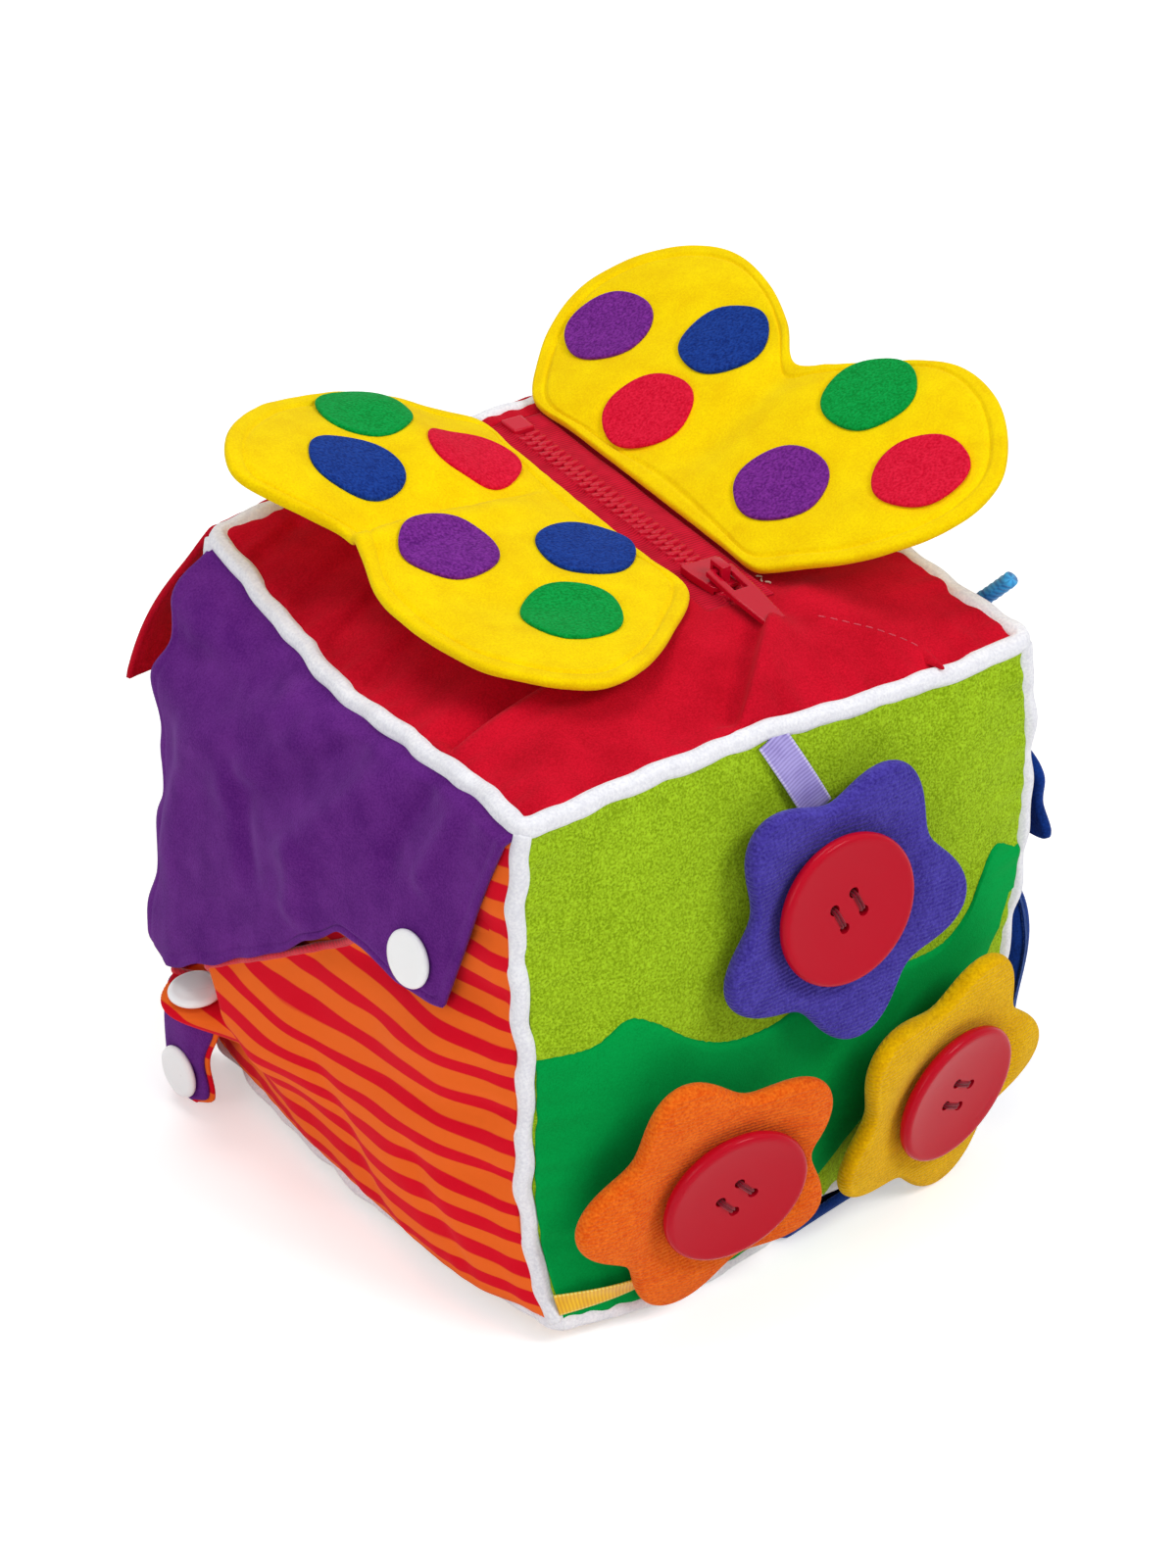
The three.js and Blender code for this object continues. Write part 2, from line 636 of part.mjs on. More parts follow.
// Top panel with the window for the zip. Its columns follow the zip's slant.
function buildTop() {
  const half = zipTapeWidth / 2 + clearance;
  const left = steps(0, 1, 6).map((share) => [-1, share]);
  const right = steps(0, 1, 4).map((share) => [1, share]);
  const columns = [...left, ...right];
  const rows = [
    ...steps(panelEdge[0], zipNearShare, 3), ...steps(zipNearShare, zipFarShare, 7).slice(1, -1),
    ...steps(zipFarShare, panelEdge[1], 1),
  ];
  const column = (index, v, lift) => {
    const [side, share] = columns[index];
    const t = 2 * v - 1;
    const window = zipPlace(Math.min(Math.max(v, zipNearShare), zipFarShare), side * half);
    const outer = (1 + drawnIn(side * (1 - 2 * panelShare), t)) / 2;
    const u = side < 0 ? outer + (window - outer) * share : window + (outer - window) * share;
    return facePoint('top', u, (1 + drawnIn(t, 2 * u - 1)) / 2, lift);
  };
  const keep = (i, j) => !(i === left.length - 1 && j >= 3 && j < 10);
  add('top_panel', sheet(column, columns.map((_, i) => i), rows, 0, clothThickness, keep), 0xd00f28);
}

function buildPanels() {
  const plain = [
    ['flower_panel', 'flower', 0xa0c81e], ['snap_panel', 'snap', 0xf06a28],
    ['back_panel', 'back', 0xf0a81e], ['shoe_panel', 'shoe', 0x0f2f7a], ['base_panel', 'base', 0xf0a81e],
  ];
  for (const [name, face, colour] of plain) {
    add(name, sheet(softened(face), panelSteps, panelSteps, 0, clothThickness), colour);
  }
  const flowerSide = softened('flower');
  const hill = (s, t, lift) => {
    const u = panelEdge[0] + (panelEdge[1] - panelEdge[0]) * s;
    const foot = Math.max(interpolate(hillFootShare, u), panelEdge[0]);
    return flowerSide(u, foot + (interpolate(hillTopShare, u) - foot) * t, lift);
  };
  add('hill_applique', sheet(hill, steps(0, 1, 20), steps(0, 1, 3), patchLift, patchTop), 0x009640);
  const patch = sheet(softened('base'), panelSteps.slice(2, -2), panelSteps.slice(2), patchLift, patchTop);
  add('base_patch', patch, 0x0f2f7a);
}

// Piping: loops round the top and the base, and the uprights between them
function buildPiping() {
  const white = 0xececf0;
  const loop = (sz) => {
    const shares = steps(pipingTurnShare, 1 - pipingTurnShare, 6);
    const walk = [['x', -1], ['y', 1], ['x', 1], ['y', -1]];
    const points = walk.flatMap(([axis, side], i) => (
      shares.map((t) => seam(axis, side, sz, i < 2 ? t : 1 - t))
    ));
    return new THREE.CatmullRomCurve3(points, true, 'centripetal');
  };
  for (const [name, sz] of [['piping_top', 1], ['piping_base', -1]]) {
    add(name, new THREE.TubeGeometry(loop(sz), pipingLoopSteps, pipingRadius, pipingSides, true), white);
  }
  const uprights = [
    ['piping_near', -1, -1], ['piping_left', -1, 1], ['piping_right', 1, -1], ['piping_far', 1, 1],
  ];
  for (const [name, sx, sy] of uprights) {
    const height = corner(sx, sy, 1).z - corner(sx, sy, -1).z;
    const endShare = (pipingDiameter + clearance) / height;
    const points = steps(endShare, 1 - endShare, 8).map((t) => seam('z', sx, sy, t));
    const route = new THREE.CatmullRomCurve3(points);
    add(name, tubeAlong(route, pipingRadius, pipingSides, pipingUprightSteps), white);
  }
}

// Zip tapes, teeth, end box, slider and pull
const boxStart = zipLength - endBoxLength - clearance;
const channelHalf = toothGap + toothDepth + beadWidth + clearance;
const tapeInner = channelHalf;
const tapeOuter = zipTapeWidth / 2;
const sliderTop = toothRise + clearance;
const sliderBottom = -toothDrop - clearance;
const pinHeight = sliderTop + sliderPlate + pullThickness / 2 + 3 * clearance;
const pinAt = sliderStart + sliderLength * sliderPinShare;

function teethOutline(from, to, side) {
  const points = [];
  const outer = (toothGap + toothDepth + beadWidth) * side;
  const root = (toothGap + toothDepth) * side;
  const tip = toothGap * side;
  const count = Math.floor((to - from) / toothPitch);
  const start = from + (side < 0 ? 0 : toothPitch - toothLength) / 2;
  points.push([outer, from]);
  for (let i = 0; i < count; i += 1) {
    const at = start + i * toothPitch;
    points.push([root, at], [tip, at], [tip, at + toothLength], [root, at + toothLength]);
  }
  points.push([root, to], [outer, to]);
  if (start > from) points.splice(1, 0, [root, from]);
  return side < 0 ? points : points.reverse();
}

function buildZip() {
  const red = 0xc81028;
  const tapeUs = (side) => steps(side < 0 ? -tapeOuter : tapeInner, side < 0 ? -tapeInner : tapeOuter, 2);
  const tapeVs = steps(tapeEndInset, zipLength - tapeEndInset, 6);
  for (const [name, side] of [['zip_tape_left', -1], ['zip_tape_right', 1]]) {
    add(name, sheet(zipPoint, tapeUs(side), tapeVs, 0, tapeThickness), red);
  }
  for (const [name, side] of [['zip_teeth_left', -1], ['zip_teeth_right', 1]]) {
    const outline = teethOutline(clearance, boxStart - clearance, side);
    const depth = toothRise + toothDrop;
    const teeth = new THREE.ExtrudeGeometry(shapeOf(outline), { depth, bevelEnabled: false });
    teeth.translate(0, 0, -toothDrop).applyMatrix4(zipMatrix);
    add(name, teeth, red, 0.45);
  }
  const boxHalf = channelHalf - clearance;
  const boxShape = boxSection(-boxHalf, boxHalf, -toothDrop, endBoxRise);
  const box = zipBar(boxShape, boxStart, zipLength - 2 * clearance);
  add('zip_end_box', box.applyMatrix4(zipMatrix), red, 0.45);

  const half = sliderWidth / 2;
  const top = sliderTop + sliderPlate;
  const bottom = sliderBottom - sliderPlate;
  const upper = [
    [-half, tapeThickness + clearance], [-half + sliderFlange, tapeThickness + clearance],
    [-half + sliderFlange, sliderTop], [half - sliderFlange, sliderTop],
    [half - sliderFlange, tapeThickness + clearance], [half, tapeThickness + clearance],
    [half, top], [-half, top],
  ];
  const sliderEnd = sliderStart + sliderLength;
  let slider = solidOf(zipBar(upper, sliderStart, sliderEnd));
  const sole = boxSection(-half, half, bottom, sliderBottom);
  slider = slider.add(solidOf(zipBar(sole, sliderStart, sliderEnd)));
  const post = boxSection(-sliderPostWidth / 2, sliderPostWidth / 2, bottom, top);
  slider = slider.add(solidOf(zipBar(post, sliderEnd - sliderPostLength, sliderEnd)));
  const nose = sliderStart - overrun;
  const shoulder = sliderStart + overrun;
  const waist = shapeOf([
    [half, sliderEnd + overrun], [half, sliderEnd - sliderPostLength],
    [half * sliderWaistShare[1], shoulder],
    [half * sliderWaistShare[0], nose], [-half * sliderWaistShare[0], nose],
    [-half * sliderWaistShare[1], shoulder],
    [-half, sliderEnd - sliderPostLength], [-half, sliderEnd + overrun],
  ]);
  const plan = new THREE.ExtrudeGeometry(waist, { depth: top - bottom + 2 * overrun, bevelEnabled: false });
  slider = slider.intersect(solidOf(plan.translate(0, 0, bottom - overrun)));
  const reach = pullThickness / Math.SQRT2 + clearance;
  const arch = shapeOf([
    [-reach - bridgeWall, top - overrun / 2], [reach + bridgeWall, top - overrun / 2],
    [reach + bridgeWall, pinHeight + reach + bridgeWall],
    [-reach - bridgeWall, pinHeight + reach + bridgeWall],
  ]);
  arch.holes.push(new THREE.Path([
    [-reach, top], [-reach, pinHeight + reach], [reach, pinHeight + reach], [reach, top],
  ].map(([a, b]) => new THREE.Vector2(a, b))));
  const bridge = new THREE.ExtrudeGeometry(arch, { depth: bridgeWidth, bevelEnabled: false });
  bridge.rotateX(Math.PI / 2).rotateZ(Math.PI / 2).translate(-bridgeWidth / 2, pinAt, 0);
  slider = slider.add(solidOf(bridge));
  add('zip_slider', geometryFrom(slider).applyMatrix4(zipMatrix), red, 0.4);

  const bar = pullThickness / 2;
  const pull = shapeOf([
    [-pullWidth / 2, bar], [-pullWidth / 2, -pullSlotLength - bar * 4], [-pullTipWidth / 2, -pullLength],
    [pullTipWidth / 2, -pullLength], [pullWidth / 2, -pullSlotLength - bar * 4], [pullWidth / 2, bar],
  ]);
  pull.holes.push(new THREE.Path([
    [-pullSlotWidth / 2, -bar], [pullSlotWidth / 2, -bar], [pullSlotWidth / 2, -bar - pullSlotLength],
    [-pullSlotWidth / 2, -bar - pullSlotLength],
  ].map(([a, b]) => new THREE.Vector2(a, b))));
  const plate = new THREE.ExtrudeGeometry(pull, { depth: pullThickness, bevelEnabled: false });
  plate.translate(0, 0, -bar).rotateX(THREE.MathUtils.degToRad(pullDrop)).translate(0, pinAt, pinHeight);
  add('zip_pull', plate.applyMatrix4(zipMatrix), red, 0.4);
}

// Flat lining pouch under the zip, with its mouth along the teeth
const pouchTop = -(toothDrop + clearance + sliderPlate + clearance);
const pouchSurface = (across, along, up) => {
  const v = zipNearShare + ((zipFarShare - zipNearShare) * along) / zipLength;
  return facePoint('top', zipPlace(v, across), v, up);
};

function pouchSlab(margin, low, high) {
  const half = pouchWidth / 2 - margin;
  const across = steps(-half, half, 4);
  const along = steps(margin, zipLength - margin - endBoxLength, 5);
  return solidOf(sheet(pouchSurface, across, along, low, high));
}

function buildCoreAndPouch() {
  const bottom = pouchTop - pouchDepth;
  const outer = pouchSlab(0, bottom, pouchTop);
  const hollow = pouchSlab(pouchWall, bottom + pouchWall, pouchTop - pouchWall);
  const mouthHalf = toothGap + toothDepth;
  const mouthSteps = steps(pouchWall + overrun, boxStart - endBoxLength, 3);
  const mouthFloor = bottom + pouchWall + clearance;
  const mouth = solidOf(sheet(pouchSurface, [-mouthHalf, mouthHalf], mouthSteps, mouthFloor, overrun));
  add('zip_pouch', geometryFrom(outer.subtract(hollow).subtract(mouth)), 0xb00d22);
  const recessHalf = pouchWidth / 2 + clearance;
  const recessSteps = steps(-clearance - overrun, zipLength + clearance, 5);
  const recessAcross = steps(-recessHalf, recessHalf, 4);
  const recess = solidOf(sheet(pouchSurface, recessAcross, recessSteps, bottom - clearance, overrun));
  add('foam_core', geometryFrom(solidOf(coreGeometry()).subtract(recess)), 0xf2ead0);
}

// Wings: each has a straight hinge edge beside the zip
const wingNearAlong = ((wingNearShare - zipNearShare) / (zipFarShare - zipNearShare)) * zipLength;

function wingSurface(side) {
  return (out, along, up) => {
    const tilt = side > 0
      ? wingRightTilt
      : wingLeftTiltNear + (wingLeftTiltFar - wingLeftTiltNear) * ease(along / wingHingeLength);
    const angle = THREE.MathUtils.degToRad(tilt);
    const reach = tapeOuter + out * Math.cos(angle) - up * Math.sin(angle);
    const hingeUp = clothThickness + (side > 0 ? wingRightRise : wingLeftRise);
    const rise = hingeUp + out * Math.sin(angle) + up * Math.cos(angle);
    return zipPoint(side * reach, wingNearAlong + along, rise);
  };
}

function buildWings() {
  const yellow = 0xffdc00;
  const felt = { purple: 0x8a2596, blue: 0x1c3c96, green: 0x00983a, red: 0xe6143c };
  const low = (a, b, share) => (share < 1 ? 0 : wingThickness * wingRimShare.low);
  const high = (a, b, share) => (share < 1 ? wingThickness : wingThickness * wingRimShare.high);
  const sides = [['right', 1, wingRightShare, dotsRightShare], ['left', -1, wingLeftShare, dotsLeftShare]];
  for (const [name, side, outline, dots] of sides) {
    const surface = wingSurface(side);
    const points = outline.map(([a, b]) => [a * wingHingeLength, b * wingHingeLength]);
    const loop = smoothLoop(points, wingLoopPoints);
    const centre = wingCentreShare.map((value) => value * wingHingeLength);
    // The left wing's own out direction is mirrored, so its outline runs the other way round.
    const turned = side > 0 ? loop : [...loop].reverse();
    add(`wing_${name}`, rounded(surface, centre, turned, wingRingShares, low, high), yellow);
    for (const [dot, out, along] of dots) {
      const place = [out * wingHingeLength, along * wingHingeLength];
      const ring = circleLoop(feltRadius, feltSides, place);
      const turnedRing = side > 0 ? ring : ring.reverse();
      const seat = wingThickness + clearance;
      const disc = rounded(surface, place, turnedRing, feltRingShares, seat, seat + feltThickness);
      add(`dot_${name}_${dot}`, disc, felt[dot.split('_')[0]]);
    }
  }
}

// Flowers, buttons, threads and ribbons, each set in the plane of its own button
function flowerFrame({ placeShare, lean }) {
  const [u, v] = placeShare;
  const at = facePoint('flower', u, v, clothThickness);
  const right = facePoint('flower', u + nudgeShare, v, 0).sub(facePoint('flower', u - nudgeShare, v, 0));
  const up = facePoint('flower', u, v + nudgeShare, 0).sub(facePoint('flower', u, v - nudgeShare, 0));
  const out = new THREE.Vector3().crossVectors(right, up).normalize();
  const [tip, swing] = lean.map((angle) => THREE.MathUtils.degToRad(angle));
  out.applyAxisAngle(new THREE.Vector3(1, 0, 0), tip).applyAxisAngle(new THREE.Vector3(0, 0, 1), swing);
  const x = new THREE.Vector3(1, 0, 0).addScaledVector(out, -out.x).normalize();
  const y = new THREE.Vector3().crossVectors(out, x);
  return new THREE.Matrix4().makeBasis(x, y, out).setPosition(at);
}

function buildFlower({ name, colour, lift, turn, slipShare }, matrix) {
  const place = (a, b, up) => new THREE.Vector3(a, b, up).applyMatrix4(matrix);
  const start = THREE.MathUtils.degToRad(turn);
  const angles = steps(0, 2 * Math.PI, flowerPoints).slice(0, flowerPoints);
  const outline = angles.map((angle) => {
    const radius = flowerRadius + petalDepth * Math.cos(petalCount * (angle - start));
    return [slipShare[0] * edge + radius * Math.cos(angle), slipShare[1] * edge + radius * Math.sin(angle)];
  });
  const slit = angles.map((angle) => [slitHalfWidth * Math.cos(angle), slitHalfLength * Math.sin(angle)]);
  const rimDrop = (flowerThickness - flowerRim) / 2;
  const low = (a, b, share) => lift + (share < 1 ? 0 : rimDrop);
  const high = (a, b, share) => {
    const dip = share > flowerRingShares[1] ? 0 : buttonholeDip;
    return lift + flowerThickness - (share < 1 ? dip : rimDrop);
  };
  const flower = rounded(place, [0, 0], outline, flowerRingShares, low, high, slit);
  add(`flower_${name}`, flower, colour, 0.95);
}

// A button on its thread shank, with the stitches over the four holes
function buildButton({ name, lift, seat }, matrix) {
  const back = lift + flowerThickness + clearance;
  const front = back + buttonThickness;
  const well = front - buttonWellDepth;
  const rim = buttonProfileShare.map(([r, z]) => [r * buttonRadius, back + z * buttonThickness]);
  const dish = [[buttonWell, front - buttonWellDepth / 2], [buttonWell * buttonWellShare, well], [0, well]];
  const profile = [...rim, ...dish].map(([r, z]) => new THREE.Vector2(r, z));
  const under = back - clearance;
  let button = solidOf(new THREE.LatheGeometry(profile, buttonSides).rotateX(Math.PI / 2));
  let thread = solidOf(cylinder(shankRadius, seat, under, [0, 0]));
  const knotRadius = buttonHoleSpread * Math.SQRT2 + threadRadius;
  thread = thread.add(solidOf(cylinder(knotRadius, under - threadBar, under, [0, 0])));
  const strandTop = well + clearance + threadBar / 2;
  for (const sx of [-1, 1]) {
    for (const sy of [-1, 1]) {
      const at = [sx * buttonHoleSpread, sy * buttonHoleSpread];
      button = button.subtract(solidOf(cylinder(buttonHoleRadius, back - overrun, front + overrun, at)));
      thread = thread.add(solidOf(cylinder(threadRadius, under - threadBar / 2, strandTop, at)));
    }
    const bar = new THREE.BoxGeometry(threadRadius * 2, buttonHoleSpread * 2 + threadRadius, threadBar);
    bar.translate(sx * buttonHoleSpread, 0, strandTop);
    thread = thread.add(solidOf(bar));
  }
  add(`button_${name}`, geometryFrom(button).applyMatrix4(matrix), 0xc8142e, 0.3);
  add(`thread_${name}`, geometryFrom(thread).applyMatrix4(matrix), 0xb01228, 0.8);
}

function buildFlowers() {
  for (const flower of flowers) {
    const matrix = flowerFrame(flower);
    buildFlower(flower, matrix);
    buildButton(flower, matrix);
  }
}

function cylinder(radius, low, high, [x, y]) {
  const geometry = new THREE.CylinderGeometry(radius, radius, high - low, smallSides);
  return geometry.rotateX(Math.PI / 2).translate(x, y, (low + high) / 2);
}

function buildRibbons() {
  for (const { name, from, to, seat, colour } of ribbonShares) {
    const run = new THREE.Vector2(to[0] - from[0], to[1] - from[1]);
    const across = new THREE.Vector2(-run.y, run.x).normalize().multiplyScalar(ribbonWidth / 2 / edge);
    const surface = (s, t, lift) => {
      const u = from[0] + run.x * s + across.x * t;
      const v = from[1] + run.y * s + across.y * t;
      return facePoint('flower', u, v, lift + seat + ribbonRise * ease(s));
    };
    add(name, sheet(surface, steps(0, 1, 5), [-1, 1], 0, ribbonThickness), colour, 0.5);
  }
}

// Snap side: purple flap, striped pocket, purple tab, and their snap caps

function standOff(u, v) {
  const open = edge * interpolate(standOffShare, v) * (1 - ease(u / standOffReach));
  const across = ease((u - tipShare.from[0]) / tipShare.from[1]);
  const down = ease((tipShare.below[0] - v) / tipShare.below[1]);
  return open + tipStandOff * across * down;
}

function flapSurface(u, v, lift) {
  return facePoint('snap', u, v, flapHingeLift + standOff(u, v) + lift);
}

function pocketSurface(u, v, lift) {
  return facePoint('snap', u, v, patchLift + standOff(u, v) + lift);
}

function tabSurface(t, s, lift) {
  const [hinge, bend, free] = tabPathShare.map(([x, y]) => new THREE.Vector3(x, y, 0).multiplyScalar(edge));
  const path = new THREE.QuadraticBezierCurve3(hinge, bend, free);
  const low = tabLowShare[0] + (tabLowShare[1] - tabLowShare[0]) * s;
  const high = tabHighShare[0] + (tabHighShare[1] - tabHighShare[0]) * s;
  const out = new THREE.Vector3().crossVectors(new THREE.Vector3(0, 0, 1), path.getTangent(s)).negate();
  const point = path.getPoint(s).addScaledVector(out, lift);
  return point.setZ(edge * (low + (high - low) * t));
}

// A round cap seated square on a surface
function cap(name, surface, [a, b], lift, colour) {
  const right = surface(a + nudgeShare, b, lift).sub(surface(a - nudgeShare, b, lift));
  const up = surface(a, b + nudgeShare, lift).sub(surface(a, b - nudgeShare, lift));
  const out = new THREE.Vector3().crossVectors(right, up).normalize();
  const x = right.clone().normalize();
  const y = new THREE.Vector3().crossVectors(out, x);
  const profile = capProfileShare.map(([r, z]) => new THREE.Vector2(r * snapCapRadius, z * snapCapHeight));
  const disc = new THREE.LatheGeometry(profile, capSides).rotateX(Math.PI / 2);
  const matrix = new THREE.Matrix4().makeBasis(x, y, out).setPosition(surface(a, b, lift));
  add(name, disc.applyMatrix4(matrix), colour, 0.3);
}

function buildSnapSide() {
  const purple = 0x5b2280;
  const white = 0xf2f2f0;
  const topShare = 1 - flapHingeDrop / edge;
  const lastHem = flapHemShare[flapHemShare.length - 1][0];
  const flap = (s, t, lift) => {
    const hemAcross = flapHemShare[0][0] + (lastHem - flapHemShare[0][0]) * s;
    const topAcross = flapTopShare[0] + (flapTopShare[1] - flapTopShare[0]) * s;
    const hem = interpolate(flapHemShare, hemAcross);
    return flapSurface(hemAcross + (topAcross - hemAcross) * t, hem + (topShare - hem) * t, lift);
  };
  add('snap_flap', sheet(flap, steps(0, 1, 12), steps(0, 1, 8), 0, flapThickness), purple);
  const pocket = (s, t, lift) => {
    const u = panelShare + (1 - 2 * panelShare) * s;
    return pocketSurface(u, panelShare + (interpolate(pocketTopShare, u) - panelShare) * t, lift);
  };
  add('snap_pocket', sheet(pocket, steps(0, 1, 12), steps(0, 1, 7), 0, pocketThickness), 0xf06a28);
  const half = tabThickness / 2;
  const tab = (s, t, lift) => tabSurface(t, s, lift);
  add('snap_tab', sheet(tab, steps(0, 1, 8), steps(0, 1, 3), -half, half), purple);
  cap('cap_flap', flapSurface, capPlaceShare.flap, flapThickness + capSeat, white);
  cap('cap_pocket', pocketSurface, capPlaceShare.pocket, pocketThickness + capSeat, white);
  cap('cap_tab', tab, capPlaceShare.tab.toReversed(), half + capSeat, white);
}

// Back flap: hangs from the top seam and stands off at its hem
function buildBackFlap() {
  const topShare = 1 - flapHingeDrop / edge;
  const surface = (s, t, lift) => {
    const hem = backHemShare.from + (backHemShare.to - backHemShare.from) * s;
    const top = backTopShare.from + (backTopShare.to - backTopShare.from) * s;
    const open = backFlapFlare * Math.sin((Math.PI / 2) * (1 - t));
    const v = backHemShare.height + (topShare - backHemShare.height) * t;
    return facePoint('back', hem + (top - hem) * t, v, flapHingeLift + open + lift);
  };
  add('red_flap', sheet(surface, steps(0, 1, 8), steps(0, 1, 6), 0, backFlapThickness), 0xd00f28);
}

// Shoe side: padded upper, tongue and lace
function buildShoe() {
  const navy = 0x0f2f7a;
  const sky = 0x1e96dc;
  const side = on('shoe');
  const overSeam = (u) => patchLift + overPiping * (1 - ease(u / overPipingReach));
  const thin = (share) => (1 - upperRimShare) * share ** upperRimPower;
  const upperHigh = (u, v, share) => overSeam(u) + shoeThickness * (1 - thin(share));
  const upper = smoothLoop(shoeShare, shoePoints);
  add('shoe_upper', rounded(side, shoeCentreShare, upper, shoeRingShares, overSeam, upperHigh), navy);
  const tongue = smoothLoop(tongueShare, tonguePoints).reverse();
  const tongueLow = (u) => patchLift + tongueTipLift * (1 - ease(u / tongueTipReach));
  const tongueHigh = (u, v, share) => tongueLow(u) + tongueThickness * (share < 1 ? 1 : tongueRimShare);
  const tongueShape = rounded(side, tongueCentreShare, tongue, tongueRingShares, tongueLow, tongueHigh);
  add('shoe_tongue', tongueShape, navy);
  const lift = clothThickness + clearance + laceDiameter / 2;
  const held = new THREE.CatmullRomCurve3(laceShare.map(([u, v]) => facePoint('shoe', u, v, lift)));
  add('shoe_lace', tubeAlong(held, laceDiameter / 2, laceSides, laceSteps), sky);
  const start = held.getPoint(1).addScaledVector(held.getTangent(1), clearance);
  const lead = start.clone().addScaledVector(held.getTangent(1), laceDiameter / 2);
  const route = laceEndRoute.map((p) => new THREE.Vector3(...p));
  const free = new THREE.CatmullRomCurve3([start, lead, ...route]);
  add('lace_end', tubeAlong(free, laceDiameter / 2, laceSides, laceEndSteps), sky);
}

buildCoreAndPouch();
buildTop();
buildPanels();
buildPiping();
buildZip();
buildWings();
buildFlowers();
buildRibbons();
buildSnapSide();
buildBackFlap();
buildShoe();

export default group;
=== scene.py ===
# %% [markdown]
# # A soft activity block, dressed step by step
# The CAD part is a stuffed cloth cube: piped seams, a zip between butterfly wings, three flowers that button
# on, a snap pocket under a flap, and a laced shoe. This lesson loads it as a fixed frame and gives every
# piece its cloth, padding and stitches. All lengths are metres, and +Z is up.

import math

import bmesh
import bpy
import numpy as np
from mathutils import Matrix, Vector


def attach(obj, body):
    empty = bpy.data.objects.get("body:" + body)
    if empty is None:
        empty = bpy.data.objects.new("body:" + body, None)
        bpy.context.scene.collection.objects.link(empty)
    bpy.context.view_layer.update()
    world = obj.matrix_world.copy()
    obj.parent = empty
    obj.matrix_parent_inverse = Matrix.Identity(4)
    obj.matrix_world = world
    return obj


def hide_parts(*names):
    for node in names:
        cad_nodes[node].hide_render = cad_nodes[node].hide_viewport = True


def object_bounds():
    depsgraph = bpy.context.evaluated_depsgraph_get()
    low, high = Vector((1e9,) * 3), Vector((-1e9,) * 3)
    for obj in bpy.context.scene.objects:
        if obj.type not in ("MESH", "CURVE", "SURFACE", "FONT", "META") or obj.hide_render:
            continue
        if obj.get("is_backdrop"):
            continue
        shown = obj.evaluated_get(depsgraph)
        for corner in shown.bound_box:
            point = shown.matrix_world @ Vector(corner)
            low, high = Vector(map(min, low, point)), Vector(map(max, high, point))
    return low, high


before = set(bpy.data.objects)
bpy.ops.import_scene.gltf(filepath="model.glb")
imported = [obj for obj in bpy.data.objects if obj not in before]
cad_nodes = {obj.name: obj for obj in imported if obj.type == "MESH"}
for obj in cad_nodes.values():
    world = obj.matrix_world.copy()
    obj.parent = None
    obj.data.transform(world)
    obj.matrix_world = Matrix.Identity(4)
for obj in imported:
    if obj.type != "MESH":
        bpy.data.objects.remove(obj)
cad_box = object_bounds()
MM = 0.001


def placed(at, x, out):
    """A frame at a point, from its x axis and the axis that points out of it."""
    return Matrix.Translation(at) @ Matrix((x, out.cross(x), out)).transposed().to_4x4()


def ease(share):
    """0 below 0, 1 above 1, and an S-curve between them."""
    share = np.clip(share, 0, 1)
    return share * share * (3 - 2 * share)


def hump(x, width):
    """1 where x is 0, and soon nothing beyond the width."""
    return np.exp(-((x / width) ** 2))


def run_of(route):
    """How far along a route each of its points lies."""
    return np.concatenate([[0], np.cumsum(np.linalg.norm(np.diff(route, axis=0), axis=1))])


# %% [markdown]
# ## Camera
# The photo was taken from the near left, a little above, with a long lens, so the edges of the block hardly
# converge. The camera is placed by its azimuth, elevation and roll about the block's middle.

# %% Camera at the photo's angle
AZIMUTH, ELEVATION, ROLL = (math.radians(a) for a in (-37.67, 31.93, 0.81))
MIDDLE_HEIGHT, DISTANCE, SHIFT_RIGHT, SHIFT_UP = 0.075, 0.99124, -0.0023, 0.01662
back = Vector((
    math.sin(AZIMUTH) * math.cos(ELEVATION), -math.cos(AZIMUTH) * math.cos(ELEVATION), math.sin(ELEVATION),
))
level = (-back).cross(Vector((0, 0, 1))).normalized()
right = math.cos(ROLL) * level + math.sin(ROLL) * level.cross(-back)
lens = bpy.data.cameras.new("photo_camera")
lens.lens, lens.sensor_width, lens.clip_start, lens.clip_end = 90, 36, 0.05, 20
camera = bpy.data.objects.new("photo_camera", lens)
bpy.context.scene.collection.objects.link(camera)
eye = Vector((0, 0, MIDDLE_HEIGHT)) + back * DISTANCE + right * SHIFT_RIGHT + back.cross(right) * SHIFT_UP
camera.matrix_world = placed(eye, right, back)
bpy.context.scene.camera = camera
bpy.context.scene.view_settings.view_transform = "Standard"
print("camera at", [round(c, 4) for c in eye])

# %% [markdown]
# ## The soft cube
# The block is a cube whose eight corners have wandered and whose seams wave, as on a stuffed cube of foam.
# A face is the patch between its four seams, raised into a crown. Every piece sits on a face at some height
# above its cloth, so one function that gives a point of a face places nearly everything. The values are those
# of the CAD part, and the functions take whole arrays, so that a grid of points is worked out at once.

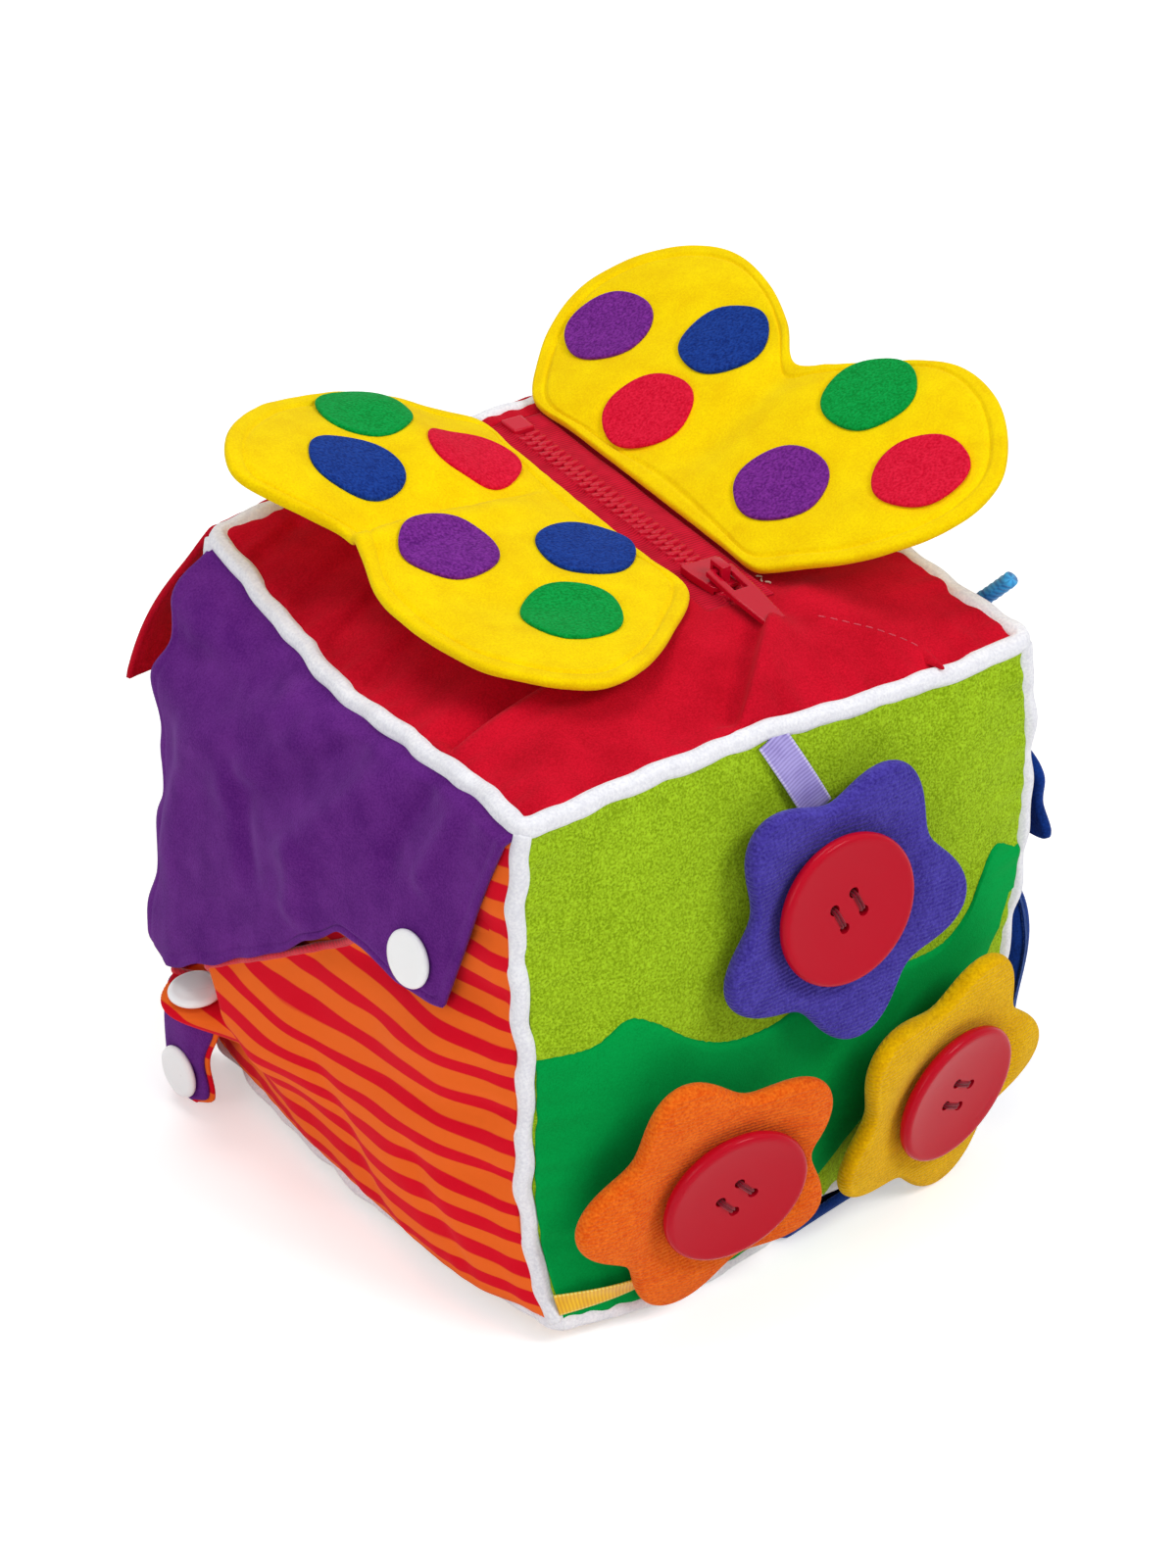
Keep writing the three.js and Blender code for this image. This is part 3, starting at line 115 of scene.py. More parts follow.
# %% Sizes and seams of the block
EDGE = 150 * MM
PIPING = 2.5 * MM
CLOTH = 1.2 * MM
BASE_SEAM, BASE_CLEARANCE = 7 * MM, 2.3 * MM
CORNER_SHIFT = {
    (-1, -1, 1): (-0.023, 0.01, -0.008), (-1, 1, 1): (0.05, -0.005, 0.044), (1, -1, 1): (0, 0, -0.016),
    (1, 1, 1): (-0.016, 0.048, 0.06), (-1, -1, -1): (0.018, -0.028, 0), (-1, 1, -1): (0.012, -0.026, 0),
    (1, -1, -1): (-0.04, 0.003, 0), (1, 1, -1): (-0.015, -0.015, 0),
}
SEAM_WAVES = {
    ("x", -1, 1): ((0.01, 0, 0), (-0.002, 0.008, -0.004)), ("x", 1, 1): ((0, 0, 0), (0.02, 0, 0)),
    ("x", -1, -1): ((-0.022, -0.014, 0), (-0.014, -0.01, 0)), ("x", 1, -1): ((-0.01, 0, 0), (0, 0, 0)),
    ("y", -1, 1): ((-0.006, 0, 0.006), (-0.04, 0.01, 0)), ("y", 1, 1): ((0, 0, 0), (0.012, 0, 0)),
    ("y", -1, -1): ((-0.036, 0, 0), (-0.01, 0, 0)), ("y", 1, -1): ((-0.01, 0, 0), (0, 0, 0)),
    ("z", -1, -1): ((-0.018, -0.004, -0.006), (0.03, 0.006, 0.008)),
    ("z", 1, -1): ((0.042, -0.006, 0), (0, 0, 0)), ("z", -1, 1): ((-0.03, 0, 0), (0, 0, 0)),
    ("z", 1, 1): ((-0.02, 0, 0), (-0.02, 0, 0)),
}
CROWN = {"top": 0.05, "base": 0.042, "flower": 0.05, "snap": 0.034, "back": 0.04, "shoe": 0.04}
OUT = {
    "top": (0, 0, 1), "base": (0, 0, -1), "flower": (0, -1, 0),
    "snap": (-1, 0, 0), "back": (0, 1, 0), "shoe": (1, 0, 0),
}
SIDES = {
    "top": ((("x", -1, 1), ("x", 1, 1), ("y", -1, 1), ("y", 1, 1)), (1, 1)),
    "base": ((("x", 1, -1), ("x", -1, -1), ("y", -1, -1), ("y", 1, -1)), (1, -1)),
    "flower": ((("x", -1, -1), ("x", -1, 1), ("z", -1, -1), ("z", 1, -1)), (1, 1)),
    "snap": ((("y", -1, -1), ("y", -1, 1), ("z", -1, 1), ("z", -1, -1)), (-1, 1)),
    "back": ((("x", 1, -1), ("x", 1, 1), ("z", 1, 1), ("z", -1, 1)), (-1, 1)),
    "shoe": ((("y", 1, -1), ("y", 1, 1), ("z", 1, -1), ("z", 1, 1)), (1, 1)),
}


def corner(sx, sy, sz):
    half = EDGE / 2 - PIPING
    middle = np.array((sx * half, sy * half, EDGE - PIPING if sz > 0 else BASE_SEAM))
    return middle + np.array(CORNER_SHIFT[(sx, sy, sz)]) * EDGE


def seam(axis, s1, s2, t):
    """Points of a seam at shares t of its length."""
    t = np.atleast_1d(t)[:, None]
    place = {"x": lambda s: (s, s1, s2), "y": lambda s: (s1, s, s2), "z": lambda s: (s1, s2, s)}[axis]
    points = corner(*place(-1)) * (1 - t) + corner(*place(1)) * t
    across = [i for i in range(3) if i != "xyz".index(axis)]
    for key, waves in zip(across, SEAM_WAVES[(axis, s1, s2)]):
        points[:, key] += EDGE * sum(w * np.sin((i + 1) * math.pi * t[:, 0]) for i, w in enumerate(waves))
    return points


seam_lengths = [run_of(seam(*key, np.linspace(0, 1, 60)))[-1] for key in SEAM_WAVES]
print("seam lengths, mm:", [round(1000 * float(length)) for length in seam_lengths])


# %% Points of a face
def flat_face(name, u, v):
    sides, turn = SIDES[name]
    across = lambda side, t: seam(*sides[side], t if turn[0] > 0 else 1 - t)
    along = lambda side, t: seam(*sides[side], t if turn[1] > 0 else 1 - t)
    a, b = u[:, None], v[:, None]
    points = across(0, u) * (1 - b) + across(1, u) * b + along(2, v) * (1 - a) + along(3, v) * a
    points -= across(0, np.zeros(1)) * (1 - a) * (1 - b) + across(0, np.ones(1)) * a * (1 - b)
    return points - across(1, np.zeros(1)) * (1 - a) * b - across(1, np.ones(1)) * a * b


def crown(name, u, v):
    profile = lambda t: np.maximum(0, 1 - np.abs(2 * t - 1) ** 3)
    return EDGE * CROWN[name] * profile(u) * profile(v)


# Where the zip starts and ends up the top, its place across at both ends, and half the width of its window
ZIP_NEAR, ZIP_FAR, ZIP_PLACE, ZIP_HALF = 0.268, 0.955, (0.624, 0.658), 9.5 * MM
LEVEL_BESIDE, LEVEL_FADE = 3.4 * MM, 26 * MM


def top_sides(v):
    return flat_face("top", np.zeros_like(v), v)[:, 0], flat_face("top", np.ones_like(v), v)[:, 0]


def zip_place(v, across=0.0):
    """The zip's line as a share of the top's width, or a line at a distance beside it."""
    left, right_side = top_sides(v)
    ends = [top_sides(np.array([share])) for share in (ZIP_NEAR, ZIP_FAR)]
    near, far = (e[0] + (e[1] - e[0]) * place for e, place in zip(ends, ZIP_PLACE))
    along = (v - ZIP_NEAR) / (ZIP_FAR - ZIP_NEAR)
    return (near + (far - near) * along + across - left) / (right_side - left)


def zip_height(v):
    """How far the top's crown is from the straight line that the zip lies on."""
    def height(share):
        place = zip_place(share)
        return flat_face("top", place, share)[:, 2] + crown("top", place, share)

    near, far = height(np.array([ZIP_NEAR])), height(np.array([ZIP_FAR]))
    straight = near + (far - near) * (v - ZIP_NEAR) / (ZIP_FAR - ZIP_NEAR)
    return (straight - height(v)) * ease(v / ZIP_NEAR) * ease((1 - v) / (1 - ZIP_FAR))


def face_point(name, u, v, lift):
    """Points of a face at heights above its own plane, for arrays u to the right and v up."""
    u, v = np.broadcast_arrays(np.atleast_1d(np.asarray(u, float)), np.atleast_1d(np.asarray(v, float)))
    height = crown(name, u, v) + lift
    if name == "top":
        beside = np.abs(u - zip_place(v)) - (ZIP_HALF + LEVEL_BESIDE) / EDGE
        height = height + zip_height(v) * (1 - ease(beside / (LEVEL_FADE / EDGE)))
    points = flat_face(name, u, v) + np.atleast_1d(height)[:, None] * OUT[name]
    if name == "base":
        points[:, 2] = np.maximum(points[:, 2], BASE_CLEARANCE - lift)
    return points


def drawn_in(s, t):
    return s * np.sqrt(1 - 0.1 * t**4 / 2)


def soft_face(name, u, v, lift):
    s, t = 2 * u - 1, 2 * v - 1
    return face_point(name, (1 + drawn_in(s, t)) / 2, (1 + drawn_in(t, s)) / 2, lift)


print("middle of the top, mm:", (face_point("top", 0.3, 0.5, CLOTH)[0] * 1000).round(1))

# %% [markdown]
# ## From grids to pieces
# Cloth is a grid: u runs one way and v the other. A sheet, a tube, a padded wing and a flower are all a flat
# bmesh grid whose points are moved to their places. Where two sides of the grid meet, their doubles are
# merged, which closes a tube along its length or a disc at its middle. The grid keeps its own UV map, so a
# weave or a stripe can follow the cloth.


# %% Helpers that make and finish a piece
def grid_piece(name, cells, place, material, closed=False, uv_size=(1.0, 1.0), cloth=None):
    """A grid of cells whose points go where place(u, v) says; cloth(u, v) is its UV map in metres."""
    bm = bmesh.new()
    layer = bm.loops.layers.uv.new("cloth")
    bmesh.ops.create_grid(bm, x_segments=cells[0], y_segments=cells[1], size=0.5, calc_uvs=True)
    bm.verts.index_update()
    flat = np.array([v.co[:] for v in bm.verts])[:, :2] + 0.5
    laid = np.column_stack(cloth(flat[:, 0], flat[:, 1])) if cloth else flat * uv_size
    for face in bm.faces:
        for loop in face.loops:
            loop[layer].uv = laid[loop.vert.index]
    for vert, spot in zip(bm.verts, place(flat[:, 0], flat[:, 1])):
        vert.co = spot
    if closed:
        bmesh.ops.remove_doubles(bm, verts=bm.verts[:], dist=1e-6)
        bmesh.ops.recalc_face_normals(bm, faces=bm.faces[:])
    return piece_from(name, bm, material)


def piece_from(name, bm, material, place=None):
    """An object made of a bmesh, which is moved by a matrix if one is given."""
    if place is not None:
        bmesh.ops.transform(bm, matrix=place, verts=bm.verts[:])
    mesh = bpy.data.meshes.new(name)
    bm.to_mesh(mesh)
    bm.free()
    mesh.polygons.foreach_set("use_smooth", np.ones(len(mesh.polygons), bool))
    mesh.materials.append(material)
    piece = bpy.data.objects.new(name, mesh)
    bpy.context.scene.collection.objects.link(piece)
    return piece


def joined(name, strands, material):
    """Several pieces made into one."""
    bm = bmesh.new()
    for strand in strands:
        bm.from_mesh(strand.data)
        bpy.data.objects.remove(strand)
    return piece_from(name, bm, material)


def seat(piece, body, slot, *nodes):
    """Puts a piece on its body and hides the CAD nodes that it stands for; slot, its finish, is not used."""
    if nodes:
        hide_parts(*nodes)
    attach(piece, body)
    area = sum(face.area for face in piece.data.polygons) * 1e4
    print(f"{piece.name} rides on {body}: {len(piece.data.polygons)} faces, {area:.1f} cm2")
    return piece


def thicken(piece, thickness, offset=-1.0):
    solid = piece.modifiers.new("cloth thickness", "SOLIDIFY")
    solid.thickness, solid.offset, solid.use_even_offset = thickness, offset, False
    return piece


def ripple(points, size, seed):
    """A soft wandering value between about -1 and 1 at each point, for lumps and puckers of a given size."""
    rng = np.random.default_rng(seed)
    total = np.zeros(len(points))
    for _ in range(7):
        way = rng.normal(size=3)
        way *= 2 * math.pi / size / np.linalg.norm(way) * rng.uniform(0.6, 1.4)
        total += np.sin(points @ way[: points.shape[1]] + rng.uniform(0, 2 * math.pi))
    return total / 3.2


def spline(points, count, closed=False):
    """Points spaced evenly along a smooth curve through the given ones (centripetal, as in the CAD part)."""
    p = np.asarray(points, float)
    if closed:
        p = np.vstack([p[-1], p, p[0], p[1]])
    else:
        p = np.vstack([2 * p[0] - p[1], p, 2 * p[-1] - p[-2]])
    out = []
    for a, b, c, d in zip(p[:-3], p[1:-2], p[2:-1], p[3:]):
        k = np.cumsum([0] + [max(np.linalg.norm(y - x), 1e-9) ** 0.5 for x, y in ((a, b), (b, c), (c, d))])
        t = np.linspace(k[1], k[2], 24, endpoint=False)[:, None]
        ab = (k[1] - t) / (k[1] - k[0]) * a + (t - k[0]) / (k[1] - k[0]) * b
        bc = (k[2] - t) / (k[2] - k[1]) * b + (t - k[1]) / (k[2] - k[1]) * c
        cd = (k[3] - t) / (k[3] - k[2]) * c + (t - k[2]) / (k[3] - k[2]) * d
        abc = (k[2] - t) / (k[2] - k[0]) * ab + (t - k[0]) / (k[2] - k[0]) * bc
        bcd = (k[3] - t) / (k[3] - k[1]) * bc + (t - k[1]) / (k[3] - k[1]) * cd
        out.append((k[2] - t) / (k[2] - k[1]) * abc + (t - k[1]) / (k[2] - k[1]) * bcd)
    fine = np.vstack(out + ([out[0][:1]] if closed else [p[-2:-1]]))
    run = run_of(fine)
    at = np.linspace(0, run[-1], count + 1)
    return np.stack([np.interp(at, run, fine[:, i]) for i in range(p.shape[1])], axis=1)


def tube(name, route, radius, sides, material, closed=False, shape=None):
    """A tube along a route. Its UV map is in metres: along the tube, then round it."""
    route = np.asarray(route, float)
    if closed:
        ways = np.roll(route[:-1], -1, axis=0) - np.roll(route[:-1], 1, axis=0)
        ways = np.vstack([ways, ways[:1]])
    else:
        ways = np.gradient(route, axis=0)
    ways /= np.linalg.norm(ways, axis=1)[:, None]
    first = np.cross(ways[0], (0, 0, 1) if abs(ways[0][2]) < 0.9 else (1, 0, 0))
    normals = [first / np.linalg.norm(first)]
    for way in ways[1:]:
        turned = normals[-1] - way * (normals[-1] @ way)
        normals.append(turned / np.linalg.norm(turned))
    normals = np.array(normals)
    if closed:
        other = np.cross(ways[-1], normals[-1])
        slip = math.atan2(normals[0] @ other, normals[0] @ normals[-1])
        turn = np.linspace(0, slip, len(route))[:, None]
        normals = normals * np.cos(turn) + np.cross(ways, normals) * np.sin(turn)
    sidewise = np.cross(ways, normals)
    length = float(run_of(route)[-1])
    last = len(route) - 1

    def place(u, v):
        i = np.rint(u * last).astype(int)
        angle = 2 * math.pi * np.where(v > 0.9999, 0, v)
        ring = np.cos(angle)[:, None] * normals[i] + np.sin(angle)[:, None] * sidewise[i]
        points = route[i] + ring * (radius * shape(u * length, angle)[:, None] if shape else radius)
        shut = ((i == 0) | (i == last)) & (not closed)
        points[shut] = route[i][shut]
        return points

    return grid_piece(name, (last, sides), place, material, True, (length, 2 * math.pi * radius))


# %% [markdown]
# ## Materials
# Most of this block is knitted velour and plain cotton. Cloth has no gloss of its own: what gives it away is
# the sheen at its edges, where light catches the fibres, and the small unevenness of the pile. Patterns that
# don't follow the cut of a piece read Object coordinates, in metres, so a scale is one over a real size.


# %% Colours and nodes
def paint(hex_code):
    """An sRGB hex code as a linear colour."""
    parts = [int(hex_code[i : i + 2], 16) / 255 for i in (1, 3, 5)]
    return tuple(c / 12.92 if c <= 0.04045 else ((c + 0.055) / 1.055) ** 2.4 for c in parts) + (1.0,)


def add(tree, kind, settings):
    """One node. A setting is a value, or a node or output that is linked into that socket."""
    made = tree.nodes.new("ShaderNode" + kind)
    for key, value in settings.items():
        if isinstance(value, bpy.types.Node):
            value = value.outputs[0]
        if isinstance(value, bpy.types.NodeSocket):
            tree.links.new(value, made.inputs[key])
        elif isinstance(key, int) or key in made.inputs:
            made.inputs[key].default_value = value
        else:
            setattr(made, key, value)
    return made


def new_material(name, look):
    """A material with only a surface shader, set to its look, and its output."""
    material = bpy.data.materials.new(name)
    material.use_nodes = True
    tree = material.node_tree
    tree.nodes.clear()
    shader = add(tree, "BsdfPrincipled", look)
    add(tree, "OutputMaterial", {"Surface": shader})
    return material, tree, shader


def two_tones(tree, factor, dark, light, low, high):
    """A ramp from one colour to another."""
    ramp = add(tree, "ValToRGB", {0: factor})
    for stop, place, colour in zip(ramp.color_ramp.elements, (low, high), (dark, light)):
        stop.position = place
        stop.color = paint(colour)
    return ramp


def cover(tree, shader, colour, height, strength, depth):
    """Gives the surface its colour, and a relief of so many mm."""
    relief = add(tree, "Bump", {"Strength": strength, "Distance": depth * MM, "Height": height})
    tree.links.new(relief.outputs[0], shader.inputs["Normal"])
    if colour is not None:
        tree.links.new(colour, shader.inputs["Base Color"])


print("linear red of the top cloth:", [round(c, 3) for c in paint("#D00F28")])


# %% Velour, brushed cotton and felt
def velour(name, dark, light, pile, depth, patch, sheen, rib=0.0, fibre="#FFFFFF", lean_share=0.45):
    """A short-pile cloth: fibres of pile mm, that lean in patches of patch mm, and the knit's ribs, if any."""
    material, tree, shader = new_material(name, {
        "Roughness": 0.9, "Specular IOR Level": 0.05,
        "Sheen Weight": sheen, "Sheen Roughness": 0.45, "Sheen Tint": paint(fibre),
    })
    where = add(tree, "TexCoord", {}).outputs["Object"]
    lean = add(tree, "TexNoise", {"Scale": 1000 / patch, "Detail": 3.0, "Vector": where})
    fuzz = add(tree, "TexNoise", {"Scale": 1000 / pile, "Detail": 2.0, "Vector": where})
    fine = add(tree, "Math", {"operation": "MULTIPLY", 0: fuzz, 1: 1 - lean_share})
    tone = add(tree, "Math", {"operation": "MULTIPLY_ADD", 0: lean, 1: lean_share, 2: fine})
    height = fuzz
    if rib:
        ribs = add(tree, "TexWave", {
            "Scale": 1000 / rib / 3.2, "Distortion": 1.2, "Detail": 1.0, "bands_direction": "Z",
            "Vector": where,
        })
        half = add(tree, "Math", {"operation": "MULTIPLY", 0: ribs.outputs[1], 1: 0.6})
        height = add(tree, "Math", {"operation": "ADD", 0: fuzz, 1: half})
    cover(tree, shader, two_tones(tree, tone, dark, light, 0.36, 0.64).outputs[0], height, 0.8, depth)
    return material


red_top = velour("red brushed cotton", "#B4081E", "#D4122C", 0.5, 0.14, 12, 0.12, fibre="#FF8088")
yellow_wing = velour("yellow brushed cotton", "#F2C800", "#FFE000", 0.5, 0.16, 8, 0.12, fibre="#FFF0A0")
lime_terry = velour("lime velour, combed", "#82A20C", "#B2D828", 0.6, 0.45, 8, 0.2, 0, "#E8FF90", 0.14)
green_hill = velour("green jersey", "#009440", "#00A84C", 0.45, 0.08, 20, 0.04, fibre="#A0FFC0")
purple_flap = velour("purple cotton twill", "#561874", "#6E2C8A", 0.5, 0.2, 9, 0.2, fibre="#C8A0F0")
violet_pile = velour("violet velour", "#382A88", "#5246B0", 0.7, 0.4, 6, 0.45, 1.1, "#A0A0FF", 0.3)
orange_pile = velour("orange velour", "#E8540C", "#FF7A1E", 0.7, 0.4, 6, 0.25, 1.1, "#FFC090", 0.3)
yellow_pile = velour("golden velour", "#E0A600", "#F8C200", 0.7, 0.4, 6, 0.25, 1.1, "#FFF0A0", 0.3)
navy_pile = velour("navy velour", "#0B2766", "#143C94", 0.5, 0.2, 8, 0.5, fibre="#90B0FF")
amber_fleece = velour("amber fleece", "#E09410", "#F6B42A", 0.8, 0.3, 8, 0.3, fibre="#FFE8B0")
FELTS = (
    ("purple", "#581470", "#82309A", 0.2, "#F0B0FF"), ("blue", "#0A2672", "#1C429C", 0.2, "#A0C0FF"),
    ("green", "#008430", "#08A448", 0.15, "#A0FFC0"), ("red", "#CC062A", "#E82040", 0.1, "#FFA0B0"),
)
felts = {
    name: velour(f"{name} felt", dark, light, 0.7, 0.4, 3, sheen, 0, fibre, 0.2)
    for name, dark, light, sheen, fibre in FELTS
}
pink_thread = velour("faded red topstitch", "#C83848", "#E06070", 0.25, 0.1, 2, 0.2)
cream_thread = velour("cream tacking thread", "#E8D0B0", "#F8ECD8", 0.25, 0.1, 2, 0.2)
foam_white = velour("white foam", "#E6DEC4", "#F6F0DC", 0.8, 0.2, 3, 0.0)
pale_thread = velour("light blue buttonhole thread", "#3A86C8", "#6AB4E8", 0.25, 0.1, 2, 0.3)
red_thread = velour("red sewing thread", "#6A0A18", "#90102A", 0.25, 0.1, 2, 0.3)
print("velours, cottons and felts:", len([m for m in bpy.data.materials if m.users == 0]))


# %% Woven strips and binding
def ribbon_cloth(name, dark, light, pick, gloss, turn=0.0, depth=0.1, sheen=0.1, selvedge=None, specular=0.35):
    """A narrow woven cloth whose ribs follow its UV map, in metres; pick is the rib's spacing in mm."""
    look = {"Roughness": gloss, "Specular IOR Level": specular, "Sheen Weight": sheen}
    material, tree, shader = new_material(name, look)
    places = add(tree, "TexCoord", {})
    flat = places.outputs["UV"]
    turned = add(tree, "Mapping", {"Rotation": (0, 0, turn), "Vector": flat})
    ribs = add(tree, "TexWave", {
        "Scale": 314 / pick, "Distortion": 0.4, "Detail": 1.0, "Vector": turned,
    }).outputs[1]
    worn = add(tree, "TexNoise", {"Scale": 260.0, "Detail": 3.0, "Vector": places.outputs["Object"]})
    tone = add(tree, "Mix", {"data_type": "FLOAT", 0: 0.6, 2: ribs, 3: worn})
    colour = two_tones(tree, tone, dark, light, 0.25, 0.7).outputs[0]
    if selvedge:
        place = add(tree, "SeparateXYZ", {0: flat}).outputs[1]
        middle = add(tree, "Math", {"operation": "SUBTRACT", 0: place, 1: RIBBON_WIDTH / 2})
        away = add(tree, "Math", {"operation": "ABSOLUTE", 0: middle})
        edge = add(tree, "MapRange", {0: away, 1: 3.7 * MM, 2: 4.1 * MM, 3: 0.0, 4: 0.85})
        knots = two_tones(tree, ribs, light, selvedge, 0.2, 0.5)
        colour = add(tree, "Mix", {"data_type": "RGBA", 0: edge, 6: colour, 7: knots}).outputs[2]
    cover(tree, shader, colour, tone, 0.7, depth)
    return material


RIBBON_WIDTH = 9 * MM
binding = velour("white jersey binding", "#E6E6EE", "#FAFAFE", 0.7, 0.16, 5, 0.3, lean_share=0.3)
SATINS = (
    ("lilac", "#8C7CC6", "#B4A8E8", "#E4DCFF", 0.4), ("gold", "#E8A400", "#FFCC10", "#FFF08C", 0.3),
    ("orange", "#E06018", "#FF8830", "#FFC090", 0.3),
)
satins = {
    name: ribbon_cloth(f"{name} satin ribbon", dark, light, 0.7, 0.3, selvedge=edge, specular=shine)
    for name, dark, light, edge, shine in SATINS
}
zip_tape = ribbon_cloth(
    "red zip tape", "#A80820", "#D41434", 0.9, 0.8, math.radians(90), 0.25, 0.05, specular=0.05,
)
lace_braid = ribbon_cloth("light blue braid", "#1478C0", "#3CB0F0", 1.6, 0.6, math.radians(35), 0.3, 0.3)


# %% Striped cotton
def striped(name, ground, stripe, pitch, share):
    """Plain cotton printed with hand-drawn stripes that thicken, thin and wander; UV is in metres."""
    look = {"Roughness": 0.85, "Specular IOR Level": 0.04, "Sheen Weight": 0.04}
    material, tree, shader = new_material(name, look)
    places = add(tree, "TexCoord", {})
    flat = places.outputs["UV"]
    plane = {"Detail": 1.0, "noise_dimensions": "2D"}
    stretched = add(tree, "Mapping", {"Scale": (26, 130, 1), "Vector": flat})
    slow = add(tree, "TexNoise", {**plane, "Scale": 14.0, "Vector": flat})
    quick = add(tree, "TexNoise", {**plane, "Scale": 1.0, "Vector": stretched})
    height = add(tree, "SeparateXYZ", {0: flat}).outputs[1]
    bent = add(tree, "Math", {"operation": "MULTIPLY_ADD", 0: slow, 1: 0.012, 2: height})
    wobble = add(tree, "Math", {"operation": "MULTIPLY_ADD", 0: quick, 1: 0.0034, 2: bent})
    turns = add(tree, "Math", {"operation": "MULTIPLY", 0: wobble, 1: 1000 / pitch})
    part = add(tree, "Math", {"operation": "FRACT", 0: turns})
    middle = add(tree, "Math", {"operation": "SUBTRACT", 0: part, 1: 0.5})
    away = add(tree, "Math", {"operation": "ABSOLUTE", 0: middle})
    colour = two_tones(tree, away, stripe, ground, share / 2 - 0.02, share / 2 + 0.02).outputs[0]
    weave = add(tree, "TexNoise", {"Scale": 2200.0, "Detail": 1.0, "Vector": places.outputs["Object"]})
    cover(tree, shader, colour, weave, 0.6, 0.08)
    return material


stripes = striped("striped cotton, red on orange", "#F86C24", "#E20C26", 9.6, 0.46)
red_binding = ribbon_cloth("red bias binding", "#B80A22", "#E01834", 1.0, 0.7, math.radians(45), 0.1, 0.2)


# %% Plastics
def plastic(name, hex_code, rough, specular=0.35):
    """Moulded or cast plastic: nearly even colour, with a faint unevenness in its gloss."""
    look = {"Base Color": paint(hex_code), "Specular IOR Level": specular}
    material, tree, shader = new_material(name, look)
    where = add(tree, "TexCoord", {}).outputs["Object"]
    cloud = add(tree, "TexNoise", {"Scale": 160.0, "Detail": 3.0, "Vector": where})
    gloss = add(tree, "MapRange", {0: cloud, 3: rough * 0.85, 4: rough * 1.2})
    tree.links.new(gloss.outputs[0], shader.inputs["Roughness"])
    cover(tree, shader, None, cloud, 0.25, 0.04)
    return material


button_red = plastic("red cast polyester button", "#C00A24", 0.16, 0.09)
snap_white = plastic("white acetal snap", "#FFFFFF", 0.28)
acetal_red = plastic("red moulded acetal", "#CC1430", 0.2, 0.14)
slider_red = plastic("red lacquered zinc slider", "#C20A28", 0.14, 0.2)
print("plastics:", [m.name for m in (button_red, snap_white, acetal_red, slider_red)])

# %% [markdown]
# ## The free end of the lace
# The lace is a 4 mm braid with white flecks. Its free end leaves the top eyelets of the shoe, follows the
# block's side and stands up past the far right corner, where the photo shows its sealed tip. Its route is
# the CAD part's, point for point, and it is the only free cord.

# %% Lace end
LACE_END = np.array((
    (78.88, -24.66, 135.97), (79.03, -27.90, 135.89), (79.53, -31.01, 134.94), (80.03, -34.22, 134.51),
    (80.45, -37.43, 135.07), (80.82, -40.48, 136.21), (81.15, -43.30, 137.87), (81.42, -45.71, 140.09),
    (81.65, -47.97, 142.46), (81.85, -50.27, 144.80), (82.00, -52.53, 147.19), (82.15, -54.76, 149.60),
    (82.30, -57.00, 152.00),
)) * MM
LACE_WIDTH = 4 * MM
free_route = spline(LACE_END, 90)
braid_lumps = lambda along, angle: 1 + 0.05 * np.sin(2 * math.pi * along / (2.4 * MM)) * np.sin(3 * angle)
lace_end = tube("lace_free_end", free_route, LACE_WIDTH / 2, 20, lace_braid, shape=braid_lumps)
seat(lace_end, "block", "blue_braid", "lace_end")

# %% [markdown]
# ## Floor and light
# The photo is cut out on white, lit evenly from above and from the right. A pale floor keeps the block's
# soft shadow, and the world is white to the camera and to gloss, but lights the cloth only at a plain level.

# %% Floor, world and lamps
def seen_directly(tree):
    """1 for what the camera sees, also in gloss or through glass, and 0 for the light that cloth scatters."""
    rays = add(tree, "LightPath", {}).outputs
    either = add(tree, "Math", {"operation": "MAXIMUM", 0: rays["Is Camera Ray"], 1: rays["Is Glossy Ray"]})
    return add(tree, "Math", {"operation": "MAXIMUM", 0: either, 1: rays["Is Transmission Ray"]})


FLOOR_HALF, FLOOR_DROP = 1.2, 0.2 * MM
floor_paint, floor_tree, floor_shader = new_material("pale floor", {
    "Roughness": 0.9, "Base Color": paint("#F7F7F7"), "Emission Color": (1, 1, 1, 1),
})
floor_lift = add(floor_tree, "Math", {"operation": "MULTIPLY", 0: seen_directly(floor_tree), 1: 0.42})
floor_tree.links.new(floor_lift.outputs[0], floor_shader.inputs["Emission Strength"])
floor_bm = bmesh.new()
bmesh.ops.create_grid(floor_bm, x_segments=1, y_segments=1, size=FLOOR_HALF)
floor = piece_from("floor", floor_bm, floor_paint)
floor.location.z = -FLOOR_DROP
floor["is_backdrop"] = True

world = bpy.data.worlds.new("studio")
bpy.context.scene.world = world
world.use_nodes = True
sky = world.node_tree
sky.nodes.clear()
plain = add(sky, "Background", {"Color": (1, 1, 1, 1), "Strength": 0.4})
white = add(sky, "Background", {"Color": (1, 1, 1, 1), "Strength": 1.0})
either = add(sky, "MixShader", {0: seen_directly(sky), 1: plain, 2: white})
add(sky, "OutputWorld", {0: either})


def lamp(name, place, size, power):
    light = bpy.data.lights.new(name, "AREA")
    light.shape, light.size, light.energy = "DISK", size, power
    made = bpy.data.objects.new(name, light)
    bpy.context.scene.collection.objects.link(made)
    made.location = place
    made.rotation_euler = (Vector((0, 0, 0.08)) - Vector(place)).to_track_quat("-Z", "Y").to_euler()


lamp("key from the right", (0.5, -1.1, 1.3), 0.7, 11)
lamp("fill from the left", (-1.3, -0.5, 0.8), 0.9, 4.6)
lamp("top", (-0.1, 0.3, 1.5), 0.8, 6)

